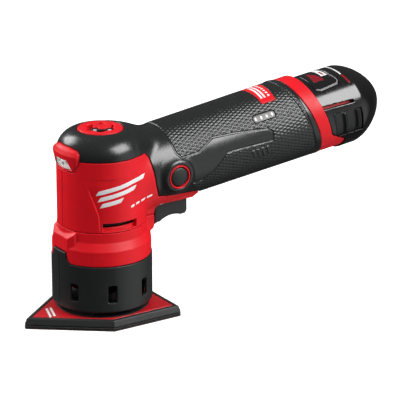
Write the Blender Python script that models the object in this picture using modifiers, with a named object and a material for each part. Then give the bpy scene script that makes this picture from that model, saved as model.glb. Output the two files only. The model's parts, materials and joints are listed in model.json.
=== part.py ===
"""A cordless detail sander: head with an orbiting pad, slanted grip and a stick battery pack.

Frame: metres, +Z up.  The origin lies on the motor axis, in the plane that the abrasive sheet rests on.
+X runs back along the grip and the pad's point looks along -X.  The XZ plane splits the clamshell.
"""

import math

import bmesh
import bpy
from mathutils import Matrix, Vector

MM = 0.001
GAP = 0.3 * MM

# Main rounds and small rounds, in segments
ROUND = 32
SMALL = 12

# Pad, a five-sided plate with its point forward
PAD_TIP_X = -55.5 * MM
PAD_CORNER_X = -12.0 * MM
PAD_REAR_X = 36.4 * MM
PAD_HALF_WIDTH = 34.2 * MM
PAD_CORNER_R = 2.0 * MM
PAD_DRAFT = 1.6 * MM
SHEET_T = 0.9 * MM
HOOK_T = 0.9 * MM
PAD_TOP_Z = 6.7 * MM
PLATE_T = 1.5 * MM
PLATE_INSET = 3.9 * MM

# Head, turned round the Z axis
HEAD_R = 27.0 * MM
SEAM_Z = 60.0 * MM
SHOULDER_Z = 104.4 * MM
DOME_TOP_Z = 118.4 * MM
DOME_FILLET = 14.0 * MM
COLLAR_R = 30.4 * MM
COLLAR_BOTTOM_Z = 39.7 * MM
COLLAR_STEP_Z = 48.8 * MM
SKIRT_R = 30.9 * MM
SKIRT_T = 2.1 * MM
SKIRT_BOTTOM_Z = 10.0 * MM
SLOT_WIDTH = 5.4 * MM
SLOT_LOW_Z = 16.5 * MM
SLOT_HIGH_Z = 27.5 * MM
SLOT_ANGLES = [side * (19.1 + 45.0 * i) for side in (-1, 1) for i in range(4)]
TAB_TOP_Z = 46.3 * MM
TAB_HALF_TOP = 7.0 * MM
TAB_HALF_BOTTOM = 9.6 * MM
BLOCK_X = -29.3 * MM
BLOCK_TOP_Z = 55.2 * MM

# Layers of the clamshell, measured inwards from the outer surface
GRIP_T = 1.3 * MM
SHELL_OUT = GRIP_T + GAP
SHELL_IN = 3.2 * MM

# Grip, turned round an axis that rises towards the back
AXIS_Z = 84.4 * MM
AXIS_RISE = math.radians(6.75)
TUBE_START = 8.0 * MM
TUBE_R_START = 24.7 * MM
TUBE_END = 172.0 * MM
TUBE_R_END = 26.3 * MM

# Drive
ECCENTRIC = 1.2 * MM
POST_TOP_Z = 42.7 * MM
SHAFT_R = 4.0 * MM
STATOR_R = 22.5 * MM
STATOR_BORE_R = 11.6 * MM
STATOR_LOW_Z = 63.4 * MM
STATOR_HIGH_Z = 97.0 * MM
ROTOR_R = 11.0 * MM
WINDING_T = 3.8 * MM

# Trigger and lock button
TRIGGER_HALF = 8.5 * MM
TRIGGER_PIVOT = (36.5 * MM, 66.5 * MM)
GUARD_HALF = 10.0 * MM
GUARD_REAR_X = 32.0 * MM
BUTTON_X = 40.0 * MM
BUTTON_Z = 87.0 * MM
BUTTON_R = 6.0 * MM
BUTTON_RING_R = 7.4 * MM

# Battery pack, placed along the grip axis
PACK_STEM_R = 21.4 * MM
PACK_STEM_S = 106.0 * MM
PACK_SPLIT_S = 146.0 * MM
PACK_R = 25.4 * MM
PACK_DROP = 2.2 * MM
PACK_DOME_S = 179.5 * MM
PACK_END_S = 206.3 * MM
PACK_DOME_POWER = 1.55
PACK_WALL = 1.9 * MM
CELL_R = 9.0 * MM
CELL_LENGTH = 65.0 * MM
CELL_RING_R = 10.5 * MM
LATCH_PIVOT_S = 180.0 * MM

# Frames: lathe axis along the grip, side outlines in the world and along the grip, front outlines
SIDE_VIEW = Matrix.Rotation(math.radians(90.0), 4, "X")
GRIP_ORIGIN = Matrix.Translation((0.0, 0.0, AXIS_Z))
GRIP_LATHE = GRIP_ORIGIN @ Matrix.Rotation(math.radians(90.0) - AXIS_RISE, 4, "Y")
PACK_LATHE = GRIP_LATHE @ Matrix.Translation((PACK_DROP, 0.0, 0.0))
GRIP_SIDE = GRIP_ORIGIN @ Matrix.Rotation(-AXIS_RISE, 4, "Y") @ SIDE_VIEW
GRIP_TOP = GRIP_ORIGIN @ Matrix.Rotation(-AXIS_RISE, 4, "Y")
FRONT_VIEW = Matrix(((0, 0, 1, 0), (1, 0, 0, 0), (0, 1, 0, 0), (0, 0, 0, 1)))
PLAN_VIEW = Matrix.Identity(4)

# Finishes: base colour, roughness, metallic
RED = ((0.66, 0.016, 0.024), 0.32, 0.0)
RUBBER = ((0.022, 0.024, 0.024), 0.62, 0.0)
CHARCOAL = ((0.032, 0.036, 0.036), 0.5, 0.0)
GLOSS_BLACK = ((0.010, 0.010, 0.011), 0.18, 0.0)
STEEL = ((0.45, 0.45, 0.46), 0.3, 1.0)
ALUMINIUM = ((0.72, 0.72, 0.73), 0.35, 1.0)
COPPER = ((0.72, 0.33, 0.16), 0.35, 1.0)
BOARD_GREEN = ((0.02, 0.12, 0.05), 0.5, 0.0)
LENS = ((0.85, 0.87, 0.88), 0.12, 0.0)
ABRASIVE = ((0.30, 0.10, 0.05), 0.95, 0.0)
HOOK = ((0.05, 0.05, 0.05), 0.9, 0.0)
CELL_SLEEVE = ((0.05, 0.22, 0.45), 0.4, 0.0)


# ---------------------------------------------------------------- scene and collections

def clear_scene():
    for old in list(bpy.data.objects):
        bpy.data.objects.remove(old, do_unlink=True)


def new_collection(name):
    made = bpy.data.collections.new(name)
    bpy.context.scene.collection.children.link(made)
    return made


def place(name, mesh, matrix, collection):
    made = bpy.data.objects.new(name, mesh)
    made.matrix_world = matrix
    collection.objects.link(made)
    return made


def hide_tool(obj):
    obj.hide_render = True
    obj.display_type = "WIRE"
    return obj


def finish(obj, look):
    """Give a piece its own Principled material and smooth its rounds."""
    colour, roughness, metallic = look
    made = bpy.data.materials.new(obj.name + "_finish")
    made.use_nodes = True
    shader = made.node_tree.nodes["Principled BSDF"]
    shader.inputs["Base Color"].default_value = (*colour, 1.0)
    shader.inputs["Roughness"].default_value = roughness
    shader.inputs["Metallic"].default_value = metallic
    obj.data.materials.clear()
    obj.data.materials.append(made)
    obj.data.shade_smooth()
    obj.data.set_sharp_from_angle(angle=math.radians(30.0))
    return obj


# ---------------------------------------------------------------- outlines

def arc(centre, radius, start, stop, count):
    """Points on an arc, angles in degrees."""
    points = []
    for i in range(count + 1):
        turn = math.radians(start + (stop - start) * i / count)
        points.append((centre[0] + radius * math.cos(turn), centre[1] + radius * math.sin(turn)))
    return points


def circle(radius, count, centre=(0.0, 0.0)):
    return arc(centre, radius, 0.0, 360.0, count)[:-1]


def rectangle(low, high):
    return [(low[0], low[1]), (high[0], low[1]), (high[0], high[1]), (low[0], high[1])]


def rounded(points, radius, count=3):
    """Replace each corner of a closed outline with an arc of the given radius."""
    result = []
    total = len(points)
    for i in range(total):
        corner = Vector(points[i])
        back = (Vector(points[i - 1]) - corner).normalized()
        ahead = (Vector(points[(i + 1) % total]) - corner).normalized()
        half = back.angle(ahead) / 2.0
        reach = radius / math.tan(half)
        start = corner + back * reach
        stop = corner + ahead * reach
        centre = corner + (back + ahead).normalized() * (radius / math.sin(half))
        for j in range(count + 1):
            chord = start.lerp(stop, j / count)
            result.append(tuple(centre + (chord - centre).normalized() * radius))
    return result


def offset(points, distance):
    """Move every side of a convex, anticlockwise outline inwards by a distance."""
    total = len(points)
    result = []
    for i in range(total):
        here = Vector(points[i])
        before = (here - Vector(points[i - 1])).normalized()
        after = (Vector(points[(i + 1) % total]) - here).normalized()
        in_before = Vector((-before.y, before.x))
        in_after = Vector((-after.y, after.x))
        mitre = (in_before + in_after) / (1.0 + in_before.dot(in_after))
        result.append(tuple(here + mitre * distance))
    return result


# ---------------------------------------------------------------- solids

def lathe(name, profile, matrix, collection, steps=ROUND, closed=False):
    """Turn a profile of (radius, height) points, outer side first and downwards, round local Z."""
    mesh = bpy.data.meshes.new(name)
    points = [(r, 0.0, h) for r, h in profile]
    edges = [(i, i + 1) for i in range(len(points) - 1)]
    if closed:
        edges.append((len(points) - 1, 0))
    mesh.from_pydata(points, edges, [])
    half_step = Matrix.Rotation(math.pi / steps, 4, "Z")
    made = place(name, mesh, matrix @ half_step, collection)
    screw = made.modifiers.new("Turn", "SCREW")
    screw.steps = steps
    screw.render_steps = steps
    screw.use_merge_vertices = True
    screw.merge_threshold = 0.00001
    screw.use_smooth_shade = True
    return made


def ring(name, inner, outer, low, high, matrix, collection, steps=ROUND):
    profile = [(outer, high), (outer, low), (inner, low), (inner, high)]
    return lathe(name, profile, matrix, collection, steps, closed=True)


def rod(name, radius, low, high, matrix, collection, steps=SMALL):
    profile = [(0.0, high), (radius, high), (radius, low), (0.0, low)]
    return lathe(name, profile, matrix, collection, steps)


def plate(name, outlines, low, high, matrix, collection):
    """Flat outline, with inner outlines as holes, filled between two heights along local Z."""
    curve = bpy.data.curves.new(name, "CURVE")
    curve.dimensions = "2D"
    curve.fill_mode = "BOTH"
    curve.extrude = (high - low) / 2.0
    for outline in outlines:
        spline = curve.splines.new("POLY")
        spline.points.add(len(outline) - 1)
        for point, (x, y) in zip(spline.points, outline):
            point.co = (x, y, 0.0, 1.0)
        spline.use_cyclic_u = True
    middle = Matrix.Translation((0.0, 0.0, (high + low) / 2.0))
    return curve_to_mesh(name, curve, matrix @ middle, collection)


def curve_to_mesh(name, curve, matrix, collection):
    """Turn a curve into a closed mesh, so that it can be cut and can cut."""
    source = place(name + "_curve", curve, matrix, collection)
    bpy.context.view_layer.update()
    ready = source.evaluated_get(bpy.context.evaluated_depsgraph_get())
    mesh = bpy.data.meshes.new_from_object(ready)
    mesh.name = name
    work = bmesh.new()
    work.from_mesh(mesh)
    bmesh.ops.remove_doubles(work, verts=work.verts, dist=0.000001)
    work.to_mesh(mesh)
    work.free()
    made = place(name, mesh, source.matrix_world.copy(), collection)
    bpy.data.objects.remove(source, do_unlink=True)
    return made


def loft(name, rings, collection):
    """Closed solid through rings of 3-D points, lowest ring first, each anticlockwise from above."""
    work = bmesh.new()
    rows = [[work.verts.new(point) for point in points] for points in rings]
    count = len(rows[0])
    for lower, upper in zip(rows, rows[1:]):
        for i in range(count):
            j = (i + 1) % count
            work.faces.new((lower[i], lower[j], upper[j], upper[i]))
    work.faces.new(list(reversed(rows[0])))
    work.faces.new(rows[-1])
    mesh = bpy.data.meshes.new(name)
    work.to_mesh(mesh)
    work.free()
    return place(name, mesh, Matrix.Identity(4), collection)


def box(name, low, high, matrix, collection, bevel=0.0):
    work = bmesh.new()
    bmesh.ops.create_cube(work, size=1.0)
    size = Vector(high) - Vector(low)
    bmesh.ops.scale(work, vec=size, verts=work.verts)
    bmesh.ops.translate(work, vec=(Vector(high) + Vector(low)) / 2.0, verts=work.verts)
    mesh = bpy.data.meshes.new(name)
    work.to_mesh(mesh)
    work.free()
    made = place(name, mesh, matrix, collection)
    if bevel:
        edge = made.modifiers.new("Edges", "BEVEL")
        edge.width = bevel
        edge.segments = 1
    return made


def combine(obj, tool, operation):
    """Boolean step; the clamshell's long chains of cuts leave loose edges with the exact solver."""
    step = obj.modifiers.new(operation.title(), "BOOLEAN")
    step.operation = operation
    step.solver = "MANIFOLD" if obj.name.startswith(("housing", "grip")) else "EXACT"
    step.object = hide_tool(tool)
    return obj


def cut(obj, *tools):
    for tool in tools:
        combine(obj, tool, "DIFFERENCE")
    return obj


def join(obj, *tools):
    for tool in tools:
        combine(obj, tool, "UNION")
    return obj


def keep(obj, *tools):
    for tool in tools:
        combine(obj, tool, "INTERSECT")
    return obj


def coil(name, radius, wire, length, turns, matrix, collection):
    """Compression spring along local Z."""
    curve = bpy.data.curves.new(name, "CURVE")
    curve.dimensions = "3D"
    curve.bevel_depth = wire
    curve.bevel_resolution = 0
    curve.use_fill_caps = True
    steps = turns * 8
    spline = curve.splines.new("POLY")
    spline.points.add(steps)
    for i, point in enumerate(spline.points):
        turn = 2.0 * math.pi * i / 8
        point.co = (radius * math.cos(turn), radius * math.sin(turn), length * i / steps, 1.0)
    return curve_to_mesh(name, curve, matrix, collection)


def along_y(x, y, z):
    """Frame whose local Z points along +Y from a point."""
    return Matrix.Translation((x, y, z)) @ Matrix.Rotation(math.radians(-90.0), 4, "X")


# ---------------------------------------------------------------- the clamshell's common shapes

def tube_radius(s):
    share = (s - TUBE_START) / (TUBE_END - TUBE_START)
    return TUBE_R_START + (TUBE_R_END - TUBE_R_START) * share


def head_solid(name, inset, low, tools):
    """The head's turned body, moved inwards by an inset."""
    fillet = DOME_FILLET - inset
    corner = (HEAD_R - DOME_FILLET, DOME_TOP_Z - DOME_FILLET)
    dome = arc(corner, fillet, 90.0, 0.0, 5)
    profile = [(0.0, DOME_TOP_Z - inset)] + dome + [(HEAD_R - inset, low), (0.0, low)]
    return lathe(name, profile, Matrix.Identity(4), tools)


def tube_solid(name, inset, end, tools):
    profile = [
        (0.0, end),
        (tube_radius(end) - inset, end),
        (TUBE_R_START - inset, TUBE_START),
        (0.0, TUBE_START),
    ]
    return lathe(name, profile, GRIP_LATHE, tools)


def envelope(name, inset, low, end, tools):
    """Head and grip as one solid, moved inwards by an inset."""
    body = head_solid(name, inset, low, tools)
    join(body, tube_solid(name + "_grip", inset, end, tools))
    return hide_tool(body)


def ring_front(n):
    """Where the red end ring starts along the grip, at height n above the grip's axis."""
    return 143.8 * MM - 0.31 * n


def ring_rear(n):
    return 152.5 * MM - 0.2 * n


def grip_to_world(s, n):
    """Side-view place (x, z) of a point given along and above the grip's axis."""
    x = s * math.cos(AXIS_RISE) - n * math.sin(AXIS_RISE)
    z = AXIS_Z + s * math.sin(AXIS_RISE) + n * math.cos(AXIS_RISE)
    return (x, z)


def rubber_region(name, grow, tools):
    """Prism that holds all rubber: the dome, the neck behind the slanted edge and the grip."""
    reach = 45.0 * MM
    edge_top = 18.7 * MM - grow
    outline = [
        (-reach, SHOULDER_Z - grow),
        (edge_top, SHOULDER_Z - grow),
        (21.5 * MM - grow, 101.5 * MM),
        (24.4 * MM - grow, 84.0 * MM),
        (27.6 * MM - grow, 75.6 * MM - grow),
        (38.0 * MM, 74.2 * MM - grow),
        (61.5 * MM, 71.2 * MM - grow),
        (67.0 * MM - grow, 66.0 * MM - grow),
        (67.0 * MM - grow, 50.0 * MM),
        grip_to_world(ring_front(-reach) + grow, -reach),
        grip_to_world(ring_front(reach) + grow, reach),
        (-reach, grip_to_world(0.0, reach)[1] + reach),
    ]
    return hide_tool(plate(name, [outline], -reach, reach, SIDE_VIEW, tools))


def grip_end_region(name, grow, tools):
    """Prism that holds the battery pack's head: behind the end ring and above the chin."""
    reach = 45.0 * MM
    chin_n = -16.3 * MM - grow
    outline = [
        (ring_rear(reach) - grow, reach),
        (ring_rear(-11.0 * MM) - grow, -11.0 * MM),
        (159.0 * MM - grow, chin_n),
        (168.0 * MM - grow, chin_n),
        (169.5 * MM - grow, -reach),
        (PACK_END_S + reach, -reach),
        (PACK_END_S + reach, reach),
    ]
    return hide_tool(plate(name, [outline], -reach, reach, GRIP_SIDE, tools))


def half_space(name, side, tools):
    """Everything on one side of the parting plane, half a gap away from it; side is -1 or 1."""
    near = side * GAP / 2.0
    far = side * 60.0 * MM
    low = (-80.0 * MM, min(near, far), 0.0)
    high = (260.0 * MM, max(near, far), 180.0 * MM)
    return hide_tool(box(name, low, high, Matrix.Identity(4), tools))


def mirrored(half):
    """Closed outline from its points on the positive side, bottom to top."""
    return half + [(-y, z) for y, z in reversed(half)]


def bezel_outline(grow):
    """Front view of the light's frame, (y, z)."""
    half = [(9.6, 96.9), (10.8, 97.8), (12.9, 102.0), (13.6, 106.0), (13.4, 108.6), (11.2, 110.5), (5.0, 111.6)]
    return offset(mirrored([(y * MM, z * MM) for y, z in half]), -grow)


def lens_outline(grow):
    """Front view of the light's lens, (y, z), wider at the bottom."""
    return offset(mirrored([(8.8 * MM, 98.4 * MM), (6.2 * MM, 104.0 * MM)]), -grow)


def screw_places():
    """Side-view places (x, z) of the housing screws."""
    return [
        (28.6 * MM, 69.9 * MM),
        grip_to_world(29.0 * MM, 17.0 * MM),
        grip_to_world(64.0 * MM, -17.0 * MM),
        grip_to_world(100.0 * MM, -17.0 * MM),
        grip_to_world(84.0 * MM, 17.0 * MM),
    ]


# ---------------------------------------------------------------- shells

def make_shells(parts, tools):
    reach = 45.0 * MM
    shell_low, shell_end = SEAM_Z + GAP / 2.0, 171.0 * MM
    tool_low, tool_end = shell_low - reach, TUBE_END + reach
    under_rubber = envelope("tool_under_rubber", SHELL_OUT, tool_low, tool_end, tools)
    rubber_inside = envelope("tool_rubber_inside", GRIP_T, tool_low, tool_end, tools)
    cavity = envelope("tool_cavity", SHELL_IN, 50.0 * MM, tool_end, tools)
    rubber_pocket = cut(rubber_region("tool_rubber_pocket", GAP / 2.0, tools), under_rubber)
    rubber_zone = rubber_region("tool_rubber_zone", -GAP / 2.0, tools)
    pack_zone = grip_end_region("tool_pack_zone", GAP / 2.0, tools)

    guard = [
        (16.0 * MM, shell_low),
        (GUARD_REAR_X, shell_low),
        (GUARD_REAR_X, 65.3 * MM),
        (60.0 * MM, 65.5 * MM),
        (65.0 * MM, 68.3 * MM),
        (65.0 * MM, 70.0 * MM),
        (16.0 * MM, 70.0 * MM),
    ]
    guard_solid = plate("tool_guard", [guard], -GUARD_HALF, GUARD_HALF, SIDE_VIEW, tools)
    slot_low = (GUARD_REAR_X + 0.2 * MM, -TRIGGER_HALF - 0.4 * MM, 40.0 * MM)
    slot_high = (58.4 * MM, TRIGGER_HALF + 0.4 * MM, 74.0 * MM)
    trigger_slot = box("tool_trigger_slot", slot_low, slot_high, Matrix.Identity(4), tools)
    pin_frame = along_y(TRIGGER_PIVOT[0], 0.0, TRIGGER_PIVOT[1])
    pin_hole = rod("tool_pin_hole", 1.6 * MM, -11.0 * MM, 11.0 * MM, pin_frame, tools)
    dial_hole = rod("tool_dial_hole", 14.3 * MM, 110.0 * MM, 130.0 * MM, PLAN_VIEW, tools, ROUND)
    bezel_hole = plate("tool_bezel_hole", [bezel_outline(GAP)], -35.0 * MM, -15.0 * MM, FRONT_VIEW, tools)
    button_frame = along_y(BUTTON_X, -35.0 * MM, BUTTON_Z)
    button_hole = rod("tool_button_hole", BUTTON_RING_R + GAP, 0.0, 18.0 * MM, button_frame, tools, 20)
    gauge_hole = plate("tool_gauge_hole", [gauge_outline(GAP)], 8.0 * MM, 30.0 * MM, GRIP_SIDE, tools)
    badge_hole = plate("tool_badge_hole", [badge_outline(GAP)], 10.0 * MM, 30.0 * MM, GRIP_TOP, tools)

    for side, word in ((-1, "left"), (1, "right")):
        half = half_space("tool_half_" + word, side, tools)
        body = envelope("housing_" + word, 0.0, shell_low, shell_end, tools)
        tools.objects.unlink(body)
        parts.objects.link(body)
        body.hide_render = False
        body.display_type = "TEXTURED"
        join(body, guard_solid)
        keep(body, half)
        cut(body, rubber_pocket, cavity, pack_zone)
        cut(body, trigger_slot, dial_hole, bezel_hole, vent_tool(word, side, tools))
        join(body, *screw_bosses(word, side, tools))
        cut(body, pin_hole, *screw_holes(word, side, tools))
        finish(body, RED)

        skin = envelope("grip_" + word, 0.0, shell_low, shell_end, tools)
        tools.objects.unlink(skin)
        parts.objects.link(skin)
        skin.hide_render = False
        skin.display_type = "TEXTURED"
        keep(skin, half)
        keep(skin, rubber_zone)
        cut(skin, rubber_inside)
        cut(skin, dial_hole, bezel_hole, badge_hole)
        if side < 0:
            cut(body, button_hole)
            cut(skin, button_hole, gauge_hole)
        else:
            cut(skin, *screw_head_holes(tools))
        finish(skin, RUBBER)


def vent_tool(word, side, tools):
    """Air slot low on the barrel's side, a wedge in plan view."""
    near, far = 20.0 * MM, 40.0 * MM
    start, stop = side * 119.0, side * 69.0
    outline = arc((0.0, 0.0), far, start, stop, 6) + arc((0.0, 0.0), near, stop, start, 4)
    low, high = 61.0 * MM, 66.0 * MM
    return plate("tool_vent_" + word, [outline], low, high, PLAN_VIEW, tools)


def screw_bosses(word, side, tools):
    """Posts round the screws, from the parting plane to the wall."""
    made = []
    for i, (x, z) in enumerate(screw_places()):
        name = f"tool_boss_{word}_{i}"
        low, high = sorted((side * 0.7 * MM, side * 11.0 * MM))
        made.append(rod(name, 3.0 * MM, low, high, along_y(x, 0.0, z), tools))
    return made


def screw_holes(word, side, tools):
    """Shank holes, and on the right a wider hole for the head."""
    made = []
    for i, (x, z) in enumerate(screw_places()):
        name = f"tool_shank_{word}_{i}"
        reach = 11.8 * MM if side > 0 else -8.5 * MM
        low, high = sorted((-0.5 * side * MM, reach))
        made.append(rod(name, 1.65 * MM, low, high, along_y(x, 0.0, z), tools, 8))
    if side > 0:
        made += screw_head_holes(tools)
    return made


def screw_head_holes(tools):
    made = []
    for i, (x, z) in enumerate(screw_places()):
        name = f"tool_head_{i}"
        found = tools.objects.get(name)
        if found is None:
            found = rod(name, 3.1 * MM, 11.3 * MM, 40.0 * MM, along_y(x, 0.0, z), tools)
        made.append(found)
    return made


def gauge_outline(grow):
    """Fuel gauge window on the left, (along, above) the grip's axis."""
    low = (100.4 * MM - grow, 13.6 * MM - grow)
    high = (116.4 * MM + grow, 17.4 * MM + grow)
    return rounded(rectangle(low, high), 1.7 * MM + grow, 2)


def badge_outline(grow):
    """Badge on top of the grip, (along, across), a slanted patch."""
    corners = [(111.6, -14.2), (122.0, -14.2), (124.6, 10.0), (111.4, 10.0)]
    points = [(s * MM, y * MM) for s, y in corners]
    return rounded(offset(points, -grow), 1.0 * MM, 2)


def make_trim(parts, tools):
    radius = tube_radius(112.0 * MM)
    band = {"matrix": GRIP_LATHE, "collection": parts}
    gauge = ring("fuel_gauge_window", radius - 1.2 * MM, radius, 100.0 * MM, 118.0 * MM, **band)
    keep(gauge, plate("tool_gauge", [gauge_outline(0.0)], 8.0 * MM, 30.0 * MM, GRIP_SIDE, tools))
    finish(gauge, GLOSS_BLACK)
    badge = ring("grip_badge", radius - 1.2 * MM, radius, 105.0 * MM, 130.0 * MM, **band)
    keep(badge, plate("tool_badge", [badge_outline(0.0)], 10.0 * MM, 30.0 * MM, GRIP_TOP, tools))
    finish(badge, RED)

    button_frame = along_y(BUTTON_X, 0.0, BUTTON_Z)
    low, high = -26.6 * MM, -21.0 * MM
    finish(ring("button_ring", BUTTON_R + GAP, BUTTON_RING_R, low, high, button_frame, parts, 20), RED)


def make_screws(parts):
    for i, (x, z) in enumerate(screw_places()):
        head, seat, tip = 13.6 * MM, 11.5 * MM, -7.5 * MM
        profile = [
            (0.0, head),
            (2.6 * MM, head),
            (2.6 * MM, seat),
            (1.35 * MM, seat),
            (1.35 * MM, tip),
            (0.0, tip),
        ]
        screw = lathe(f"housing_screw_{i + 1}", profile, along_y(x, 0.0, z), parts, 8)
        finish(screw, STEEL)


# ---------------------------------------------------------------- collar, skirt, light, dial

def tab_outline(grow, top, bottom):
    """Front view of the skirt's front tab, (y, z), with sides that lean together."""
    lean = (TAB_HALF_BOTTOM - TAB_HALF_TOP) / (TAB_TOP_Z - COLLAR_BOTTOM_Z)
    wide = TAB_HALF_TOP + lean * (TAB_TOP_Z - bottom) + grow
    narrow = TAB_HALF_TOP + lean * (TAB_TOP_Z - top) + grow
    return [(-wide, bottom), (wide, bottom), (narrow, top), (-narrow, top)]


def make_collar(parts, tools):
    low = COLLAR_BOTTOM_Z + GAP / 2.0
    high = SEAM_Z - GAP / 2.0
    profile = [
        (0.0, high),
        (27.3 * MM, high),
        (27.6 * MM, 54.0 * MM),
        (COLLAR_R, COLLAR_STEP_Z),
        (COLLAR_R, low),
        (0.0, low),
    ]
    collar = lathe("head_collar", profile, Matrix.Identity(4), parts)
    half = [(8.5 * MM, BLOCK_X), (12.2 * MM, -26.4 * MM), (12.2 * MM, -20.0 * MM)]
    outline = [(x, y) for y, x in mirrored(half)]
    block_low = COLLAR_STEP_Z - 2.0 * MM
    side_view = [
        (-20.0 * MM, block_low),
        (BLOCK_X, block_low),
        (BLOCK_X, BLOCK_TOP_Z),
        (-25.7 * MM, high - 0.4 * MM),
        (-20.0 * MM, high - 0.4 * MM),
    ]
    block_solid = plate("tool_front_block", [side_view], -15.0 * MM, 15.0 * MM, SIDE_VIEW, tools)
    keep(block_solid, plate("tool_block_plan", [outline], 40.0 * MM, 70.0 * MM, PLAN_VIEW, tools))
    facet_low = (-60.0 * MM, -30.0 * MM, 30.0 * MM)
    facet_high = (BLOCK_X, 30.0 * MM, 70.0 * MM)
    facet = box("tool_front_facet", facet_low, facet_high, Matrix.Identity(4), tools)
    guard = [
        (22.0 * MM, 47.0 * MM),
        (28.8 * MM, 47.0 * MM),
        (28.8 * MM, 49.4 * MM),
        (31.2 * MM, 50.8 * MM),
        (GUARD_REAR_X, 52.4 * MM),
        (GUARD_REAR_X, high - 0.2 * MM),
        (22.0 * MM, high - 0.2 * MM),
    ]
    guard_solid = plate("tool_collar_guard", [guard], -GUARD_HALF, GUARD_HALF, SIDE_VIEW, tools)
    inner = [
        (0.0, high + 5.0 * MM),
        (25.6 * MM, high + 5.0 * MM),
        (25.6 * MM, 52.4 * MM),
        (28.3 * MM, 47.6 * MM),
        (28.3 * MM, low - 5.0 * MM),
        (0.0, low - 5.0 * MM),
    ]
    hollow = lathe("tool_collar_hollow", inner, Matrix.Identity(4), tools)
    notch_shape = tab_outline(GAP, TAB_TOP_Z + GAP, 35.0 * MM)
    notch = plate("tool_notch", [notch_shape], -45.0 * MM, -20.0 * MM, FRONT_VIEW, tools)
    join(collar, block_solid, guard_solid)
    cut(collar, hollow, notch, facet)
    finish(collar, RED)


def make_skirt(parts, tools):
    inner = SKIRT_R - SKIRT_T
    lip = 1.5 * MM
    profile = [
        (SKIRT_R, 50.0 * MM),
        (SKIRT_R, SKIRT_BOTTOM_Z + lip),
        (SKIRT_R - lip * 0.3, SKIRT_BOTTOM_Z + lip * 0.3),
        (SKIRT_R - lip, SKIRT_BOTTOM_Z),
        (inner, SKIRT_BOTTOM_Z),
        (inner, 50.0 * MM),
    ]
    skirt = lathe("dust_skirt", profile, Matrix.Identity(4), parts, closed=True)
    rim = COLLAR_BOTTOM_Z - GAP / 2.0
    wide = 50.0 * MM
    crest = tab_outline(0.0, TAB_TOP_Z, rim)
    above = [(-wide, rim), crest[0], crest[3], crest[2], crest[1], (wide, rim)]
    above += [(wide, 70.0 * MM), (-wide, 70.0 * MM)]
    cut(skirt, plate("tool_above_tab", [above], -45.0 * MM, -15.0 * MM, FRONT_VIEW, tools))
    rear_low, rear_high = (-16.0 * MM, -wide, rim), (wide, wide, 70.0 * MM)
    cut(skirt, box("tool_above_rear", rear_low, rear_high, Matrix.Identity(4), tools))
    half = SLOT_WIDTH / 2.0
    shape = rounded(rectangle((-half, SLOT_LOW_Z), (half, SLOT_HIGH_Z)), 1.5 * MM, 2)
    for angle in SLOT_ANGLES:
        turn = Matrix.Rotation(math.radians(angle), 4, "Z")
        cut(skirt, plate(f"tool_slot_{angle:.0f}", [shape], SKIRT_R / 2.0, wide, turn @ FRONT_VIEW, tools))
    finish(skirt, CHARCOAL)


def make_light(parts, tools):
    profile = [
        (25.2 * MM, 112.2 * MM),
        (27.2 * MM, 110.2 * MM),
        (28.8 * MM, 107.4 * MM),
        (28.7 * MM, 105.0 * MM),
        (27.2 * MM, 97.0 * MM),
        (24.2 * MM, 97.0 * MM),
        (24.2 * MM, 106.0 * MM),
        (21.5 * MM, 112.2 * MM),
    ]
    bezel = lathe("led_bezel", profile, Matrix.Identity(4), parts, closed=True)
    keep(bezel, plate("tool_bezel", [bezel_outline(0.0)], -35.0 * MM, -15.0 * MM, FRONT_VIEW, tools))
    window = plate("tool_window", [lens_outline(GAP)], -35.0 * MM, -15.0 * MM, FRONT_VIEW, tools)
    cut(bezel, window)
    finish(bezel, RED)

    profile = [
        (28.3 * MM, 105.5 * MM),
        (27.0 * MM, 98.0 * MM),
        (25.2 * MM, 98.0 * MM),
        (25.8 * MM, 105.5 * MM),
    ]
    lens = lathe("led_lens", profile, Matrix.Identity(4), parts, closed=True)
    keep(lens, plate("tool_lens", [lens_outline(0.0)], -35.0 * MM, -15.0 * MM, FRONT_VIEW, tools))
    finish(lens, LENS)
    low, high = (-22.8 * MM, -6.0 * MM, 100.0 * MM), (-21.4 * MM, 6.0 * MM, 105.5 * MM)
    finish(box("led_board", low, high, Matrix.Identity(4), parts), BOARD_GREEN)


def make_dial(parts, tools):
    top, bottom = DOME_TOP_Z + 0.4 * MM, 115.4 * MM
    profile = [
        (0.0, top),
        (12.9 * MM, top),
        (13.9 * MM, top - 1.0 * MM),
        (13.9 * MM, bottom),
        (3.0 * MM, bottom),
        (3.0 * MM, 113.0 * MM),
        (0.0, 113.0 * MM),
    ]
    dial = lathe("speed_dial", profile, Matrix.Identity(4), parts)
    lobes = []
    for i in range(36):
        turn = 2.0 * math.pi * i / 36
        reach = 7.4 * MM + 1.5 * MM * math.cos(6.0 * turn)
        lobes.append((reach * math.cos(turn), reach * math.sin(turn)))
    cut(dial, plate("tool_dial_grip", [lobes], top - 2.4 * MM, top + 2.0 * MM, PLAN_VIEW, tools))
    finish(dial, RED)
    finish(rod("dial_potentiometer", 8.0 * MM, 108.2 * MM, 112.6 * MM, PLAN_VIEW, parts, 16), CHARCOAL)
    return [dial]


# ---------------------------------------------------------------- drive

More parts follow.
